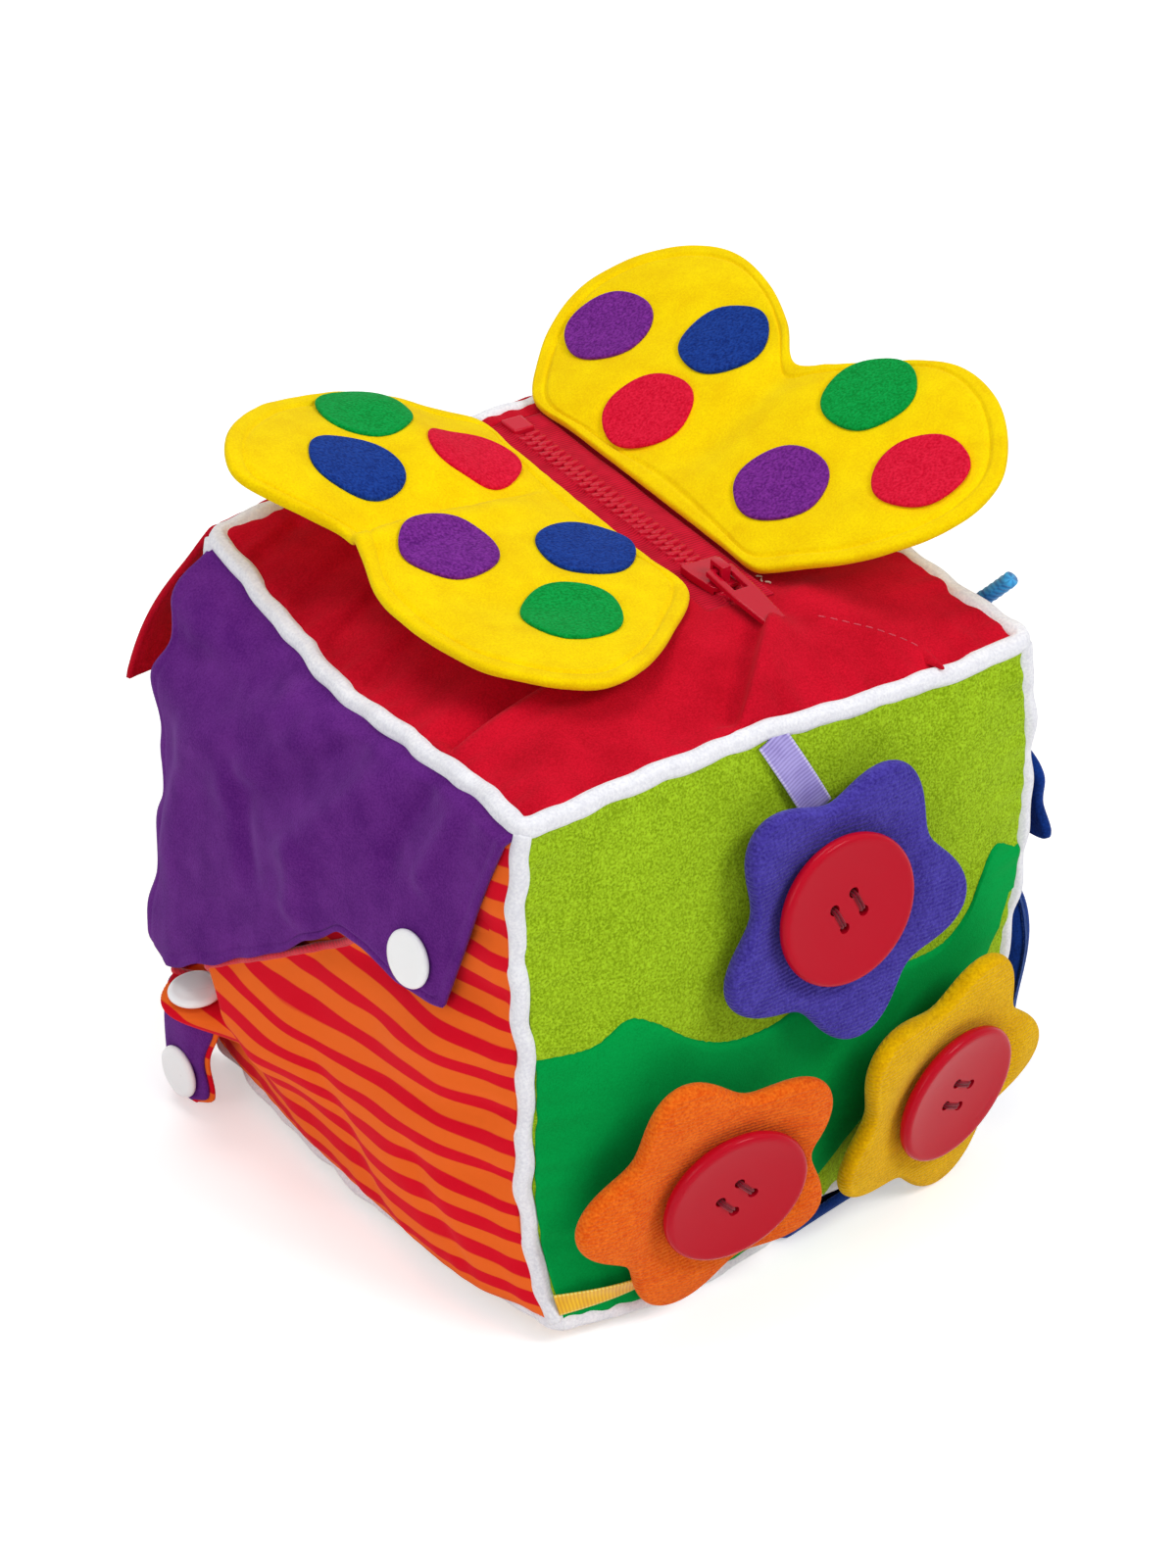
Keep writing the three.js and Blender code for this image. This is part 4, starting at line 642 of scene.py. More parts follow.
# %% [markdown]
# ## The casing
# Six cloth panels are sewn over a foam cube. Foam keeps their crown, and the seams draw the cloth in, so that
# small puckers run from each seam and fade after a centimetre or two. Each panel is one fine grid that ends
# under the piping, with a little thickness.


# %% Puckers and panels
def wave(x, seed, sizes=(7, 11, 18)):
    """Uneven waves along a seam, with lengths of a few sizes in mm."""
    rng = np.random.default_rng(seed)
    return sum(np.sin(2 * math.pi * x / (size * MM) + rng.uniform(0, 6.28)) for size in sizes) / len(sizes)


SEWN_FACE, PUCKER_REACH, UNDER = 143 * MM, 9 * MM, 0.008


def puckers(u, v, points, seed, strength, lump):
    """How far cloth stands off its plain form: puckers square to the near seam, and soft lumps within."""
    beside = [np.minimum(s, 1 - s) * EDGE for s in (u, v)]
    near = np.minimum(*beside)
    rows = sum(
        np.exp(-d / PUCKER_REACH) * wave(other * EDGE, seed + i)
        for i, (d, other) in enumerate(zip(beside, (v, u)))
    )
    soft = ripple(points, 46 * MM, seed + 5) * ease(near / (22 * MM))
    return (strength * rows * ease(near / (3 * MM)) + lump * soft) * MM


def on_cloth(face, u, v, seed, strength=0.45, lump=0.7, more=None, above=0.0):
    """Points on the cloth of a panel, puckers and all, or a little above it."""
    points = face_point(face, u, v, CLOTH)
    height = puckers(u, v, points, seed, strength, lump) + above
    if more:
        height = height + more(u, v)
    return points + height[:, None] * OUT[face]


def panel(face, name, slot, material, cells=140, patch=None, **cloth):
    """A panel of cloth that ends under the piping; patch moves its grid, and cloth says how it puckers."""
    def place(u, v):
        u, v = patch(u, v) if patch else (UNDER + (1 - 2 * UNDER) * s for s in (u, v))
        return on_cloth(face, u, v, **cloth)

    made = grid_piece(name, (cells, cells), place, material, uv_size=(EDGE, EDGE))
    return seat(thicken(made, 0.8 * MM), "block", slot, f"{face}_panel")


FOAM_SHARE = (0.92, 0.93, 0.89)
panel("flower", "lime_panel", "lime_terry", lime_terry, seed=11, strength=0.8)
panel("snap", "striped_panel", "striped_cotton", stripes, seed=21, strength=0.7, lump=0.5)
panel("back", "amber_back_panel", "amber_fleece", amber_fleece, seed=31)
panel("shoe", "navy_panel", "navy_velour", navy_pile, seed=41)
panel("base", "amber_base_panel", "amber_fleece", amber_fleece, seed=51, strength=0.2, lump=0.1)
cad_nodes["zip_pouch"].data.materials.clear()
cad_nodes["zip_pouch"].data.materials.append(red_top)

foam_bm = bmesh.new()
bmesh.ops.create_cube(foam_bm, size=2)
bmesh.ops.subdivide_edges(foam_bm, edges=foam_bm.edges[:], cuts=9, use_grid_fill=True)
middle = sum(corner(*sign) for sign in CORNER_SHIFT) / 8
for vert in foam_bm.verts:
    place = sum(corner(*sign) * np.prod(1 + np.array(vert.co) * sign) / 8 for sign in CORNER_SHIFT)
    vert.co = middle + (place - middle) * FOAM_SHARE
foam = piece_from("foam_filling", foam_bm, foam_white)
seat(foam, "block", "foam", "foam_core")

# %% [markdown]
# ### The top, with its window for the zip
# The red top is not cut open under the zip: it sinks there to the floor of a window, and its edges are turned
# down beside the tapes. The columns of the grid follow the zip's slant, so the window's edges are straight and
# the floor of the window lies lower.
# Folds run from the slider's end towards the near seam, as the sewing pulls there.

# %% Red top
COLUMNS = (0, 80 / 160, 81 / 160, 100 / 160, 101 / 160, 1)
ROWS = (0, 44 / 160, 45 / 160, 152 / 160, 153 / 160, 1)
EDGE_FOLD = 0.003


def top_patch(u, v):
    """Moves the columns and rows of the grid to the edges of the zip's window."""
    ends = (UNDER, ZIP_NEAR - EDGE_FOLD, ZIP_NEAR, ZIP_FAR, ZIP_FAR + EDGE_FOLD, 1 - UNDER)
    rows = np.interp(v, ROWS, ends)
    held = np.clip(rows, ZIP_NEAR, ZIP_FAR)
    left, right_edge = (zip_place(held, side * (ZIP_HALF + 0.1 * MM)) for side in (-1, 1))
    low, high = np.full_like(u, UNDER), np.full_like(u, 1 - UNDER)
    places = np.stack([low, left, left + EDGE_FOLD, right_edge - EDGE_FOLD, right_edge, high])
    step = np.clip(np.searchsorted(COLUMNS, u, "right") - 1, 0, len(COLUMNS) - 2)
    share = (u - np.take(COLUMNS, step)) / np.take(np.diff(COLUMNS), step)
    column = np.arange(len(u))
    return places[step, column] * (1 - share) + places[step + 1, column] * share, rows


TOP_FOLDS = (
    ((0.635, 0.195), (0.425, 0.0), 5.0, 1.5, 7.0), ((0.59, 0.2), (0.39, 0.02), -2.8, 5.0),
    ((0.30, 0.276), (0.0, 0.256), -4.2, 6.0, 1.2), ((0.30, 0.24), (0.0, 0.222), 1.8, 3.0),
    ((0.16, 0.94), (0.0, 0.905), -1.8, 1.4, 5.0), ((0.21, 0.705), (0.0, 0.63), -1.7, 1.8, 6.0),
    ((0.2, 0.8), (0.0, 0.77), -1.2, 2.0, 6.0), ((0.24, 0.56), (0.0, 0.5), -1.3, 2.0, 7.0),
    ((0.24, 0.44), (0.0, 0.4), -1.0, 6.0), ((0.40, 0.24), (0.30, 0.02), -1.2, 9.0),
    ((0.2, 0.2), (0.05, 0.02), 1.6, 6.0), ((0.86, 0.5), (1.0, 0.52), -1.4, 6.0),
    ((0.7, 0.3), (0.83, 0.03), 0.9, 8.0),
)


def folds(u, v, table):
    """Ridges, or valleys where the height is negative, that fade at both ends. Two widths: one steep side."""
    total = np.zeros_like(u)
    for (u0, v0), (u1, v1), height, *widths in table:
        du, dv = u1 - u0, v1 - v0
        length = math.hypot(du, dv)
        along = ((u - u0) * du + (v - v0) * dv) / length**2
        aside = ((u - u0) * dv - (v - v0) * du) / length * EDGE
        fade = ease((along + 0.12) / 0.3) * ease((1.1 - along) / 0.3)
        width = np.where(aside > 0, widths[0], widths[-1])
        total += height * MM * fade * hump(aside, width * MM)
    return total


def top_shape(u, v):
    """The top's folds, the dip under the right wing, and the floor of the zip's window."""
    held = np.clip(v, ZIP_NEAR, ZIP_FAR)
    away = np.abs(u - zip_place(held)) * EDGE
    inside = (away < ZIP_HALF) & (v >= ZIP_NEAR - 1e-6) & (v <= ZIP_FAR + 1e-6)
    calm = ease((away - 9 * MM) / (14 * MM)) + (v < ZIP_NEAR) * ease((ZIP_NEAR - v) / 0.05)
    height = folds(u, v, TOP_FOLDS) * np.clip(calm, 0, 1)
    beside = np.minimum(np.minimum(u, 1 - u), np.minimum(v, 1 - v)) * EDGE
    height *= np.where(height < 0, ease((beside - 1.5 * MM) / (5 * MM)), ease((beside - 0.3 * MM) / (4 * MM)))
    height -= 1.2 * MM * ease((u - 0.66) / 0.06) * ease((v - 0.24) / 0.05) * ease(beside / (8 * MM))
    return np.where(inside, (-3.6 - 1.6 * ease((v - 0.74) / 0.1)) * MM, height)


TOP_CLOTH = {"seed": 61, "strength": 1.0, "lump": 0.5, "more": top_shape}
panel("top", "red_top", "red_velour", red_top, 160, top_patch, **TOP_CLOTH)

# %% [markdown]
# ### The hill and the patch under the base
# The green hill is a thin jersey patch, laid on the lime velour and sewn round its wavy top edge with close
# stitches that sink in. The base is amber, with a navy patch.


# %% Hill and base patch
def table(points, at):
    """A value that eases from one place of a table to the next."""
    xs, ys = zip(*points)
    i = np.clip(np.searchsorted(xs, at) - 1, 0, len(xs) - 2)
    x0, y0 = np.take(xs, i), np.take(ys, i)
    x1, y1 = np.take(xs, i + 1), np.take(ys, i + 1)
    return y0 + (y1 - y0) * ease((at - x0) / (x1 - x0))


def smooth_line(points, at):
    """A smooth curve through the places of a table."""
    curve = spline(points, 400)
    return np.interp(at, curve[:, 0], curve[:, 1])


HILL_TOP = (
    (0.022, 0.545), (0.1, 0.552), (0.16, 0.594), (0.2, 0.576), (0.27, 0.517), (0.34, 0.482), (0.42, 0.476),
    (0.55, 0.5), (0.7, 0.47), (0.82, 0.46), (0.87, 0.5), (0.9, 0.58), (0.925, 0.613), (0.978, 0.58),
)
HILL_FOOT = (
    (0.022, 0.022), (0.5, 0.022), (0.63, 0.12), (0.8, 0.22), (0.9, 0.31), (0.95, 0.39), (0.978, 0.48),
)


def hill_place(u, v):
    a = 0.01 + 0.98 * u
    foot = np.where(a < 0.52, 0.01, np.maximum(smooth_line(HILL_FOOT, a), 0.01))
    top = smooth_line(HILL_TOP, a) + 0.0016 * wave(a * EDGE, 73, (1.7, 2.3, 3.1))
    b = foot + (top - foot) * v
    sewn = np.minimum(top - b, np.where(foot < 0.02, 1, b - foot)) * EDGE
    height = puckers(a, b, face_point("flower", a, b, CLOTH), 11, 0.8, 0.7)
    height += 0.75 * MM * ease(sewn / (1.6 * MM))
    return face_point("flower", a, b, 1.25 * MM) + height[:, None] * OUT["flower"]


hill = grid_piece("green_hill", (160, 70), hill_place, green_hill, uv_size=(EDGE, EDGE / 2))
seat(thicken(hill, 0.5 * MM), "block", "green_velour", "hill_applique")


def patch_place(u, v):
    """The navy patch lies under the base. Its near edge rolls up behind the piping, as in the photo."""
    a, b = 0.165 + 0.7 * u, 0.17 + 0.8 * np.minimum(v / 0.9, 1)
    points = soft_face("base", a, b, 2.29 * MM)
    turn = np.clip((v - 0.9) / 0.1, 0, 1) * math.radians(130)
    shown = ease((a - 0.47) / 0.05) * ease((0.865 - a) / 0.05)
    near = seam("x", -1, -1, a)[:, 1] - 3.0 * MM
    depth, height = 2.6 * MM * (1 - np.sin(turn)), 0.4 * MM + 2.9 * MM * (1 - np.cos(turn))
    roll = np.column_stack([points[:, 0], near + depth, height])
    share = (shown * (v > 0.9))[:, None]
    return points * (1 - share) + roll * share


patch = grid_piece("navy_base_patch", (60, 60), patch_place, navy_pile, uv_size=(EDGE, EDGE))
seat(thicken(patch, 0.7 * MM), "block", "navy_velour", "base_patch")

# %% [markdown]
# ## Piping
# White binding is folded round a cord and sewn into every seam. It runs in a closed loop round the top and
# another round the base, with an upright at each corner between them. Its width wanders a little, as the
# sewing takes in more or less of it.


# %% Piping loops and uprights
def piping_swell(seed):
    return lambda along, angle: 1 + 0.06 * wave(along, seed, (9, 15, 26)) + 0.022 * np.sin(7 * angle)


def wobbled(route, seed):
    """The route of a seam, shifted a little from side to side as the sewing wandered."""
    lengths = run_of(route)
    calm = ease(np.minimum(lengths, lengths[-1] - lengths) / (12 * MM))
    rows = [0.75 * MM * calm * wave(lengths, seed + i, (16, 25, 41)) for i in range(3)]
    return route + np.column_stack(rows)


for height_sign, name in ((1, "top"), (-1, "base")):
    shares = np.concatenate([[0.012, 0.045], np.linspace(0.12, 0.88, 9), [0.955, 0.988]])
    walk = (("x", -1, shares), ("y", 1, shares), ("x", 1, shares[::-1]), ("y", -1, shares[::-1]))
    corners = np.vstack([seam(axis, side, height_sign, t) for axis, side, t in walk])
    loop = wobbled(spline(corners, 620, closed=True), 82 + height_sign)
    if height_sign < 0:
        # The near seam of the base rises over the navy patch
        x = loop[:, 0]
        rise = ease((x + 8 * MM) / (20 * MM)) * ease((58 * MM - x) / (24 * MM))
        loop[:, 2] += 2 * MM * rise * (loop[:, 1] < 0)
    ring = tube(f"white_piping_{name}", loop, PIPING, 42, binding, closed=True, shape=piping_swell(81))
    seat(ring, "block", "white_piping", f"piping_{name}")
for name, sx, sy in (("near", -1, -1), ("left", -1, 1), ("right", 1, -1), ("far", 1, 1)):
    route = wobbled(spline(seam("z", sx, sy, np.linspace(0.0, 1.0, 12)), 160), 86 + sx + 2 * sy)
    post = tube(f"white_piping_{name}", route, 0.9 * PIPING, 42, binding, shape=piping_swell(85))
    seat(post, "block", "white_piping", f"piping_{name}")

# %% [markdown]
# ## Zip
# A moulded zip: two herringbone tapes, a row of teeth on each, that mesh along the middle, an end box with its
# pin at the far end, and a slider with its pull at the near end. It lies in a straight frame of its own:
# across, along and up.

# %% The zip's frame
zip_near = face_point("top", ZIP_PLACE[0], ZIP_NEAR, 0)[0]
zip_far = face_point("top", ZIP_PLACE[1], ZIP_FAR, 0)[0]
ZIP_LENGTH = float(np.linalg.norm(zip_far - zip_near))
zip_along = (zip_far - zip_near) / ZIP_LENGTH
zip_across = np.array((1, 0, 0)) - zip_along * zip_along[0]
zip_across /= np.linalg.norm(zip_across)
zip_up = np.cross(zip_across, zip_along)
ZIP_FRAME = Matrix([
    (*(float(axis[i]) for axis in (zip_across, zip_along, zip_up)), float(zip_near[i])) for i in range(3)
] + [(0, 0, 0, 1)])


def zip_point(across, along, up):
    return zip_near + np.outer(across, zip_across) + np.outer(along, zip_along) + np.outer(up, zip_up)


print("zip length, mm:", round(ZIP_LENGTH * 1000, 1))

# %% Tapes and teeth
TAPE_WIDTH, TAPE_START = 9.1 * MM, -1.6 * MM
TOOTH_PITCH, BOX_START = 3 * MM, ZIP_LENGTH - 7.3 * MM
TOOTH = (4.2 * MM, 1.42 * MM, 2.5 * MM)
for side, name in ((-1, "left"), (1, "right")):
    def tape_place(u, v):
        across = (0.4 * MM if side > 0 else -ZIP_HALF) + TAPE_WIDTH * u
        along = TAPE_START + (ZIP_LENGTH - TAPE_START) * v
        up = 0.8 * MM + 0.16 * MM * ripple(zip_point(across, along, np.zeros_like(across)), 14 * MM, 91 + side)
        return zip_point(across, along, up + 0.5 * MM * hump(np.abs(across) - 3.0 * MM, 0.7 * MM))

    cloth_size = (TAPE_WIDTH, ZIP_LENGTH)
    tape = grid_piece(f"zip_tape_{name}_cloth", (22, 160), tape_place, zip_tape, uv_size=cloth_size)
    seat(thicken(tape, 0.5 * MM), "block", "zip_tape", f"zip_tape_{name}")

for side, name in ((-1, "left"), (1, "right")):
    teeth = bmesh.new()
    for i in range(int((BOX_START - 1 * MM) / TOOTH_PITCH)):
        at = 1.3 * MM + i * TOOTH_PITCH + (0 if side < 0 else TOOTH_PITCH / 2)
        made = bmesh.ops.create_cube(teeth, size=1)["verts"]
        bmesh.ops.scale(teeth, vec=TOOTH, verts=made)
        for vert in made:
            if vert.co.x * side < 0:
                vert.co.z *= 0.82
                vert.co.y *= 0.94
        bmesh.ops.translate(teeth, vec=(side * 1.25 * MM, at, 0.55 * MM), verts=made)
    bmesh.ops.bevel(teeth, geom=teeth.edges[:], offset=0.28 * MM, offset_type="OFFSET", affect="EDGES",
                    segments=1, profile=0.5, material=-1)
    row = piece_from(f"zip_teeth_{name}_row", teeth, acetal_red, ZIP_FRAME)
    seat(row, "block", "zip_acetal", f"zip_teeth_{name}")


# %% End box, slider and pull
def rounded_copy(node, name, width, material, body, slot):
    """A copy of a CAD node with its doubles merged and its sharp edges rounded."""
    bm = bmesh.new()
    bm.from_mesh(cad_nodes[node].data)
    bmesh.ops.remove_doubles(bm, verts=bm.verts[:], dist=1e-6)
    bmesh.ops.dissolve_limit(bm, angle_limit=math.radians(3), verts=bm.verts[:], edges=bm.edges[:])
    made = piece_from(name, bm, material)
    rounding = made.modifiers.new("rounded edges", "BEVEL")
    rounding.width, rounding.segments, rounding.angle_limit = width, 3, math.radians(30)
    made.data.set_sharp_from_angle(angle=math.radians(40))
    return seat(made, body, slot, node)


rounded_copy("zip_end_box", "zip_end_box_moulded", 0.5 * MM, acetal_red, "block", "zip_acetal")
rounded_copy("zip_slider", "zip_slider_body", 0.45 * MM, slider_red, "slider", "zip_lacquer")
rounded_copy("zip_pull", "zip_pull_tab", 0.5 * MM, slider_red, "pull", "zip_lacquer")

# %% [markdown]
# ## Padded shapes
# A wing, a flower, a shoe upper and a felt dot are all the same kind of thing: an outline, cut from two layers
# and stuffed or pressed. The grid's u starts at the middle of the top, runs out over the rim and comes back
# underneath to the middle; v goes round the outline. Close rows at the rim make it round.


# %% One function for every padded shape
def pad(
    name, outline, centre, surface, thickness, material, cells, rim,
    shape=None, hole=None, band=9 * MM, low=0.0,
):
    """outline is in the shape's own plane; surface takes its two places and a height to world points."""
    ring = spline(np.asarray(outline, float), cells[1], closed=True)

    def place(u, v):
        out = ring[np.rint(v * cells[1]).astype(int)] - centre
        reach = np.linalg.norm(out, axis=1)
        way = out / reach[:, None]
        run = reach - hole(way) if hole else reach
        share = 1 - np.abs(2 * u - 1)
        rim_run = np.minimum(band, 0.45 * run)
        start, middle = (0.2, 0.36) if hole else (0.0, 0.62)
        left = 1 - start - middle
        level = run - (rim_run if hole else 0)
        inset = np.where(
            share < start + middle, level - (level - rim_run) * (share - start) / middle,
            rim_run * ((1 - share) / left) ** 2,
        )
        if hole:
            inset = np.where(share < start, run - rim_run * (share / start) ** 2, inset)
        inset = np.clip(inset, 0, run)
        side = np.where(u <= 0.5, 1.0, -1.0)
        near = np.minimum(inset, run - inset) if hole else inset
        full = np.sqrt(np.clip(1 - (1 - np.clip(near / rim, 0, 1)) ** 2, 0, 1))
        flat = centre + way * (reach - inset)[:, None]
        height = low + thickness / 2 + side * thickness / 2 * full
        if shape:
            height = height + shape(flat, inset, side, full)
        return surface(flat[:, 0], flat[:, 1], height)

    return grid_piece(name, cells, place, material, True)


def groove(inset, at, width, depth):
    return -depth * hump(inset - at, width)


# %% Butterfly wings
WING_LENGTH, WING_THICKNESS, WING_NEAR = 99 * MM, 2.6 * MM, 9.181 * MM
WINGS = {
    1: ("right", -0.6 * MM, (
        (0.008, 0.0), (0.018, -0.032), (0.092, -0.107), (0.176, -0.19), (0.277, -0.256), (0.371, -0.3),
        (0.474, -0.318), (0.584, -0.292), (0.686, -0.196), (0.76, -0.062), (0.777, 0.088), (0.728, 0.201),
        (0.66, 0.292), (0.585, 0.383), (0.528, 0.482), (0.611, 0.626), (0.67, 0.785), (0.686, 0.952),
        (0.637, 1.079), (0.55, 1.162), (0.449, 1.209), (0.333, 1.219), (0.21, 1.17), (0.096, 1.08),
        (0.01, 0.97), (0.01, 0.8), (0.01, 0.56), (0.01, 0.32), (0.01, 0.12),
    ), (
        ("purple_far", 0.298, 1.013), ("blue_far", 0.459, 0.697), ("red_mid", 0.173, 0.658),
        ("green_near", 0.565, 0.203), ("purple_near", 0.229, 0.148), ("red_near", 0.473, -0.117),
    )),
    -1: ("left", 0.7 * MM, (
        (0.01, -0.03), (0.154, -0.177), (0.306, -0.284), (0.438, -0.321), (0.53, -0.285), (0.607, -0.215),
        (0.668, -0.134), (0.701, -0.023), (0.725, 0.098), (0.733, 0.23), (0.695, 0.371), (0.682, 0.472),
        (0.755, 0.541), (0.823, 0.614), (0.878, 0.7), (0.82, 0.845), (0.64, 0.995), (0.47, 1.06),
        (0.34, 1.09), (0.2, 1.06), (0.1, 0.99), (0.01, 0.93), (0.01, 0.76), (0.01, 0.54), (0.01, 0.32),
        (0.01, 0.12),
    ), (
        ("green_far", 0.373, 0.926), ("blue_far", 0.533, 0.687), ("red_mid", 0.178, 0.695),
        ("purple_near", 0.48, 0.321), ("blue_near", 0.15, 0.212), ("green_near", 0.342, -0.021),
    )),
}


def wing_surface(side):
    """The wing's plane: it starts beside the zip and is tilted up, the left one more towards its far end."""
    def surface(out, along, height):
        tilt = np.radians(25.0) if side > 0 else np.radians(4 + 12 * ease(along / WING_LENGTH))
        reach = ZIP_HALF + out * np.cos(tilt) - height * np.sin(tilt)
        rise = 1.2 * MM + WINGS[side][1] + out * np.sin(tilt) + height * np.cos(tilt)
        return zip_point(side * reach, WING_NEAR + along, rise)

    return surface


WING_FOLDS = {
    -1: (
        ((0.70, 0.45), (0.10, 0.53), -3.4, 11.0, 1.2), ((0.66, 0.40), (0.16, 0.46), 1.6, 5.0),
        ((0.31, 1.02), (0.26, 0.52), 2.8, 9.0), ((0.6, 0.2), (0.3, -0.05), -1.0, 8.0),
    ),
    1: (
        ((0.53, 0.48), (0.1, 0.42), -1.6, 7.0), ((0.35, 0.9), (0.62, 0.75), -0.8, 8.0),
        ((0.2, 0.0), (0.5, 0.05), -0.8, 8.0),
    ),
}


def wing_folds(flat, side):
    to_edge = WING_LENGTH / EDGE
    lines = [tuple((o * to_edge, a * to_edge) for o, a in row[:2]) + row[2:] for row in WING_FOLDS[side]]
    return folds(flat[:, 0] / EDGE, flat[:, 1] / EDGE, lines)


FELT_RADIUS, FELT_THICKNESS = 12.3 * MM, 1.2 * MM
WING_MIDDLE = np.array((0.28, 0.42)) * WING_LENGTH
for side, (name, _, outline, dots) in WINGS.items():
    surface = wing_surface(side)
    spots = np.array([(o, a) for _, o, a in dots]) * WING_LENGTH
    lumps = lambda flat: 0.55 * MM * ripple(flat, 40 * MM, 7 + side)

    def wing_shape(flat, inset, top, full):
        round_it = np.arctan2(*(flat - spots.mean(0)).T)
        hem = groove(inset, 4.6 * MM, 0.6 * MM, 0.8 * MM)
        hem += 0.12 * MM * wave(round_it * 45 * MM, 3) * hump(inset, 6 * MM)
        away = np.linalg.norm(flat[:, None] - spots[None], axis=2).min(axis=1)
        sewn = -0.35 * MM * hump(away - FELT_RADIUS, 1.6 * MM)
        puff = 0.5 * MM * ease((inset - 4.5 * MM) / (12 * MM))
        soft = lumps(flat) * ease(inset / (8 * MM)) + wing_folds(flat, side)
        return soft + np.where(top > 0, hem + sewn + puff, -hem - 0.2 * MM * full)

    wing = pad(f"{name}_wing_cloth", np.array(outline) * WING_LENGTH, WING_MIDDLE, surface, WING_THICKNESS,
               yellow_wing, (120, 260), 1.3 * MM, wing_shape)
    seat(wing, f"{name}_wing", "yellow_velour", f"wing_{name}")
    for i, (dot, out, along) in enumerate(dots):
        centre = np.array((out, along)) * WING_LENGTH
        angles = np.linspace(0, 2 * math.pi, 40, endpoint=False)
        rng = np.random.default_rng(100 + i)
        cut = FELT_RADIUS + 0.18 * MM * sum(np.sin(times * angles + rng.uniform(0, 6)) for times in (2, 5))
        loop = centre + np.column_stack([np.cos(angles), np.sin(angles)]) * cut[:, None]
        colour = dot.split("_")[0]
        felt = pad(
            f"{name}_dot_{dot}", loop, centre, surface, FELT_THICKNESS, felts[colour], (44, 72), 0.5 * MM,
            lambda flat, *_: lumps(flat) + wing_folds(flat, side) - 0.1 * MM,
            band=4 * MM, low=WING_THICKNESS + 0.1 * MM,
        )
        seat(felt, f"{name}_wing", f"{colour}_felt", f"dot_{name}_{dot}")

# %% [markdown]
# ## Flowers that button on
# Each flower is cut with five petals, stuffed, and turned through its slit. A big button holds it: the slit is
# sewn flat round its edge, and the petals are thicker and bow a little.

# %% Flowers
# Each has its place on the face, lean, turn, shift, height on its shank, the shank's own start, and its cloth
FLOWERS = (
    ("violet", (0.525, 0.698), (0, -3), 59, (0.0167, -0.0133), 4.6, 0.6, violet_pile),
    ("orange", (0.308, 0.265), (8, -5), 39, (-0.0267, 0), 7.6, 2.1, orange_pile),
    ("yellow", (0.787, 0.221), (3, 1.4), 65, (-0.0067, 0.0033), 7.6, 1.4, yellow_pile),
)


def flower_frame(u, v, lean):
    """The frame of a flower: its middle on the lime panel, and the way out of it."""
    at = lambda du, dv: face_point("flower", u + du, v + dv, 0)[0]
    across, upward = at(0.02, 0) - at(-0.02, 0), at(0, 0.02) - at(0, -0.02)
    out = Vector(np.cross(across, upward)).normalized()
    out.rotate(Matrix.Rotation(math.radians(lean[0]), 3, "X"))
    out.rotate(Matrix.Rotation(math.radians(lean[1]), 3, "Z"))
    x = (Vector((1, 0, 0)) - out * out.x).normalized()
    return placed(face_point("flower", u, v, CLOTH)[0], x, out)


SLIT_WIDTH, SLIT_LENGTH = 4.8 * MM, 26 * MM


def slit(way):
    """How far the buttonhole reaches from the flower's middle."""
    return 0.5 / np.hypot(way[:, 0] / SLIT_WIDTH, way[:, 1] / SLIT_LENGTH)


PETALS, PETAL_REACH, PETAL_DEPTH, FLOWER_THICKNESS = 5, 32.3, 4.6, 5 * MM
flower_frames = {}
for name, (u, v), lean, turn, slip, lift, _, cloth in FLOWERS:
    flower_frames[name] = flower_frame(u, v, lean)
    basis = np.array(flower_frames[name])
    petal = lambda angle: np.cos(PETALS * (angle - math.radians(turn)))
    angles = np.linspace(0, 2 * math.pi, 90, endpoint=False)
    radius = (PETAL_REACH + PETAL_DEPTH * petal(angles)) * MM
    loop = np.array(slip) * EDGE + radius[:, None] * np.column_stack([np.cos(angles), np.sin(angles)])

    def flower_surface(a, b, height):
        return np.column_stack([a, b, height]) @ basis[:3, :3].T + basis[:3, 3]

    def flower_shape(flat, inset, top, full):
        angle = np.arctan2(flat[:, 1], flat[:, 0])
        held = ease((np.hypot(flat[:, 0], flat[:, 1]) - 14 * MM) / (14 * MM))
        puff = (0.2 + 0.25 * petal(angle)) * MM * held * ease(inset / (9 * MM))
        sag = -1.3 * MM * (1 - held)
        bow = 0.6 * MM * held * np.sin(2 * angle + turn) + 0.35 * MM * ripple(flat, 30 * MM, turn)
        seamed = groove(inset, 2.4 * MM, 0.8 * MM, 0.2 * MM)
        return bow * held + np.where(top > 0, puff + sag + seamed, -0.2 * puff)

    flower = pad(f"{name}_flower_cloth", loop, (0, 0), flower_surface, FLOWER_THICKNESS, cloth, (84, 220),
                 2.2 * MM, flower_shape, slit, 7 * MM, lift * MM)
    seat(flower, f"{name}_flower", f"{'gold' if name == 'yellow' else name}_velour", f"flower_{name}")

# %% [markdown]
# ### Buttons
# A button is turned from a profile with a raised rim and a dished well, then drilled with four holes. Thread
# holds it: two bars over the holes, and a shank behind that leaves room for the flower.

# %% Buttons and their thread
BUTTON = (
    (0, 0), (16.6, 0), (18.6, 0.5), (19.3, 1.3), (19.5, 2.2), (19.35, 2.9), (18.95, 3.45), (18.4, 3.7),
    (17.8, 3.72), (17.0, 3.62), (15.0, 3.4), (12.0, 3.14), (8.0, 2.92), (4.0, 2.82), (0, 2.8),
)


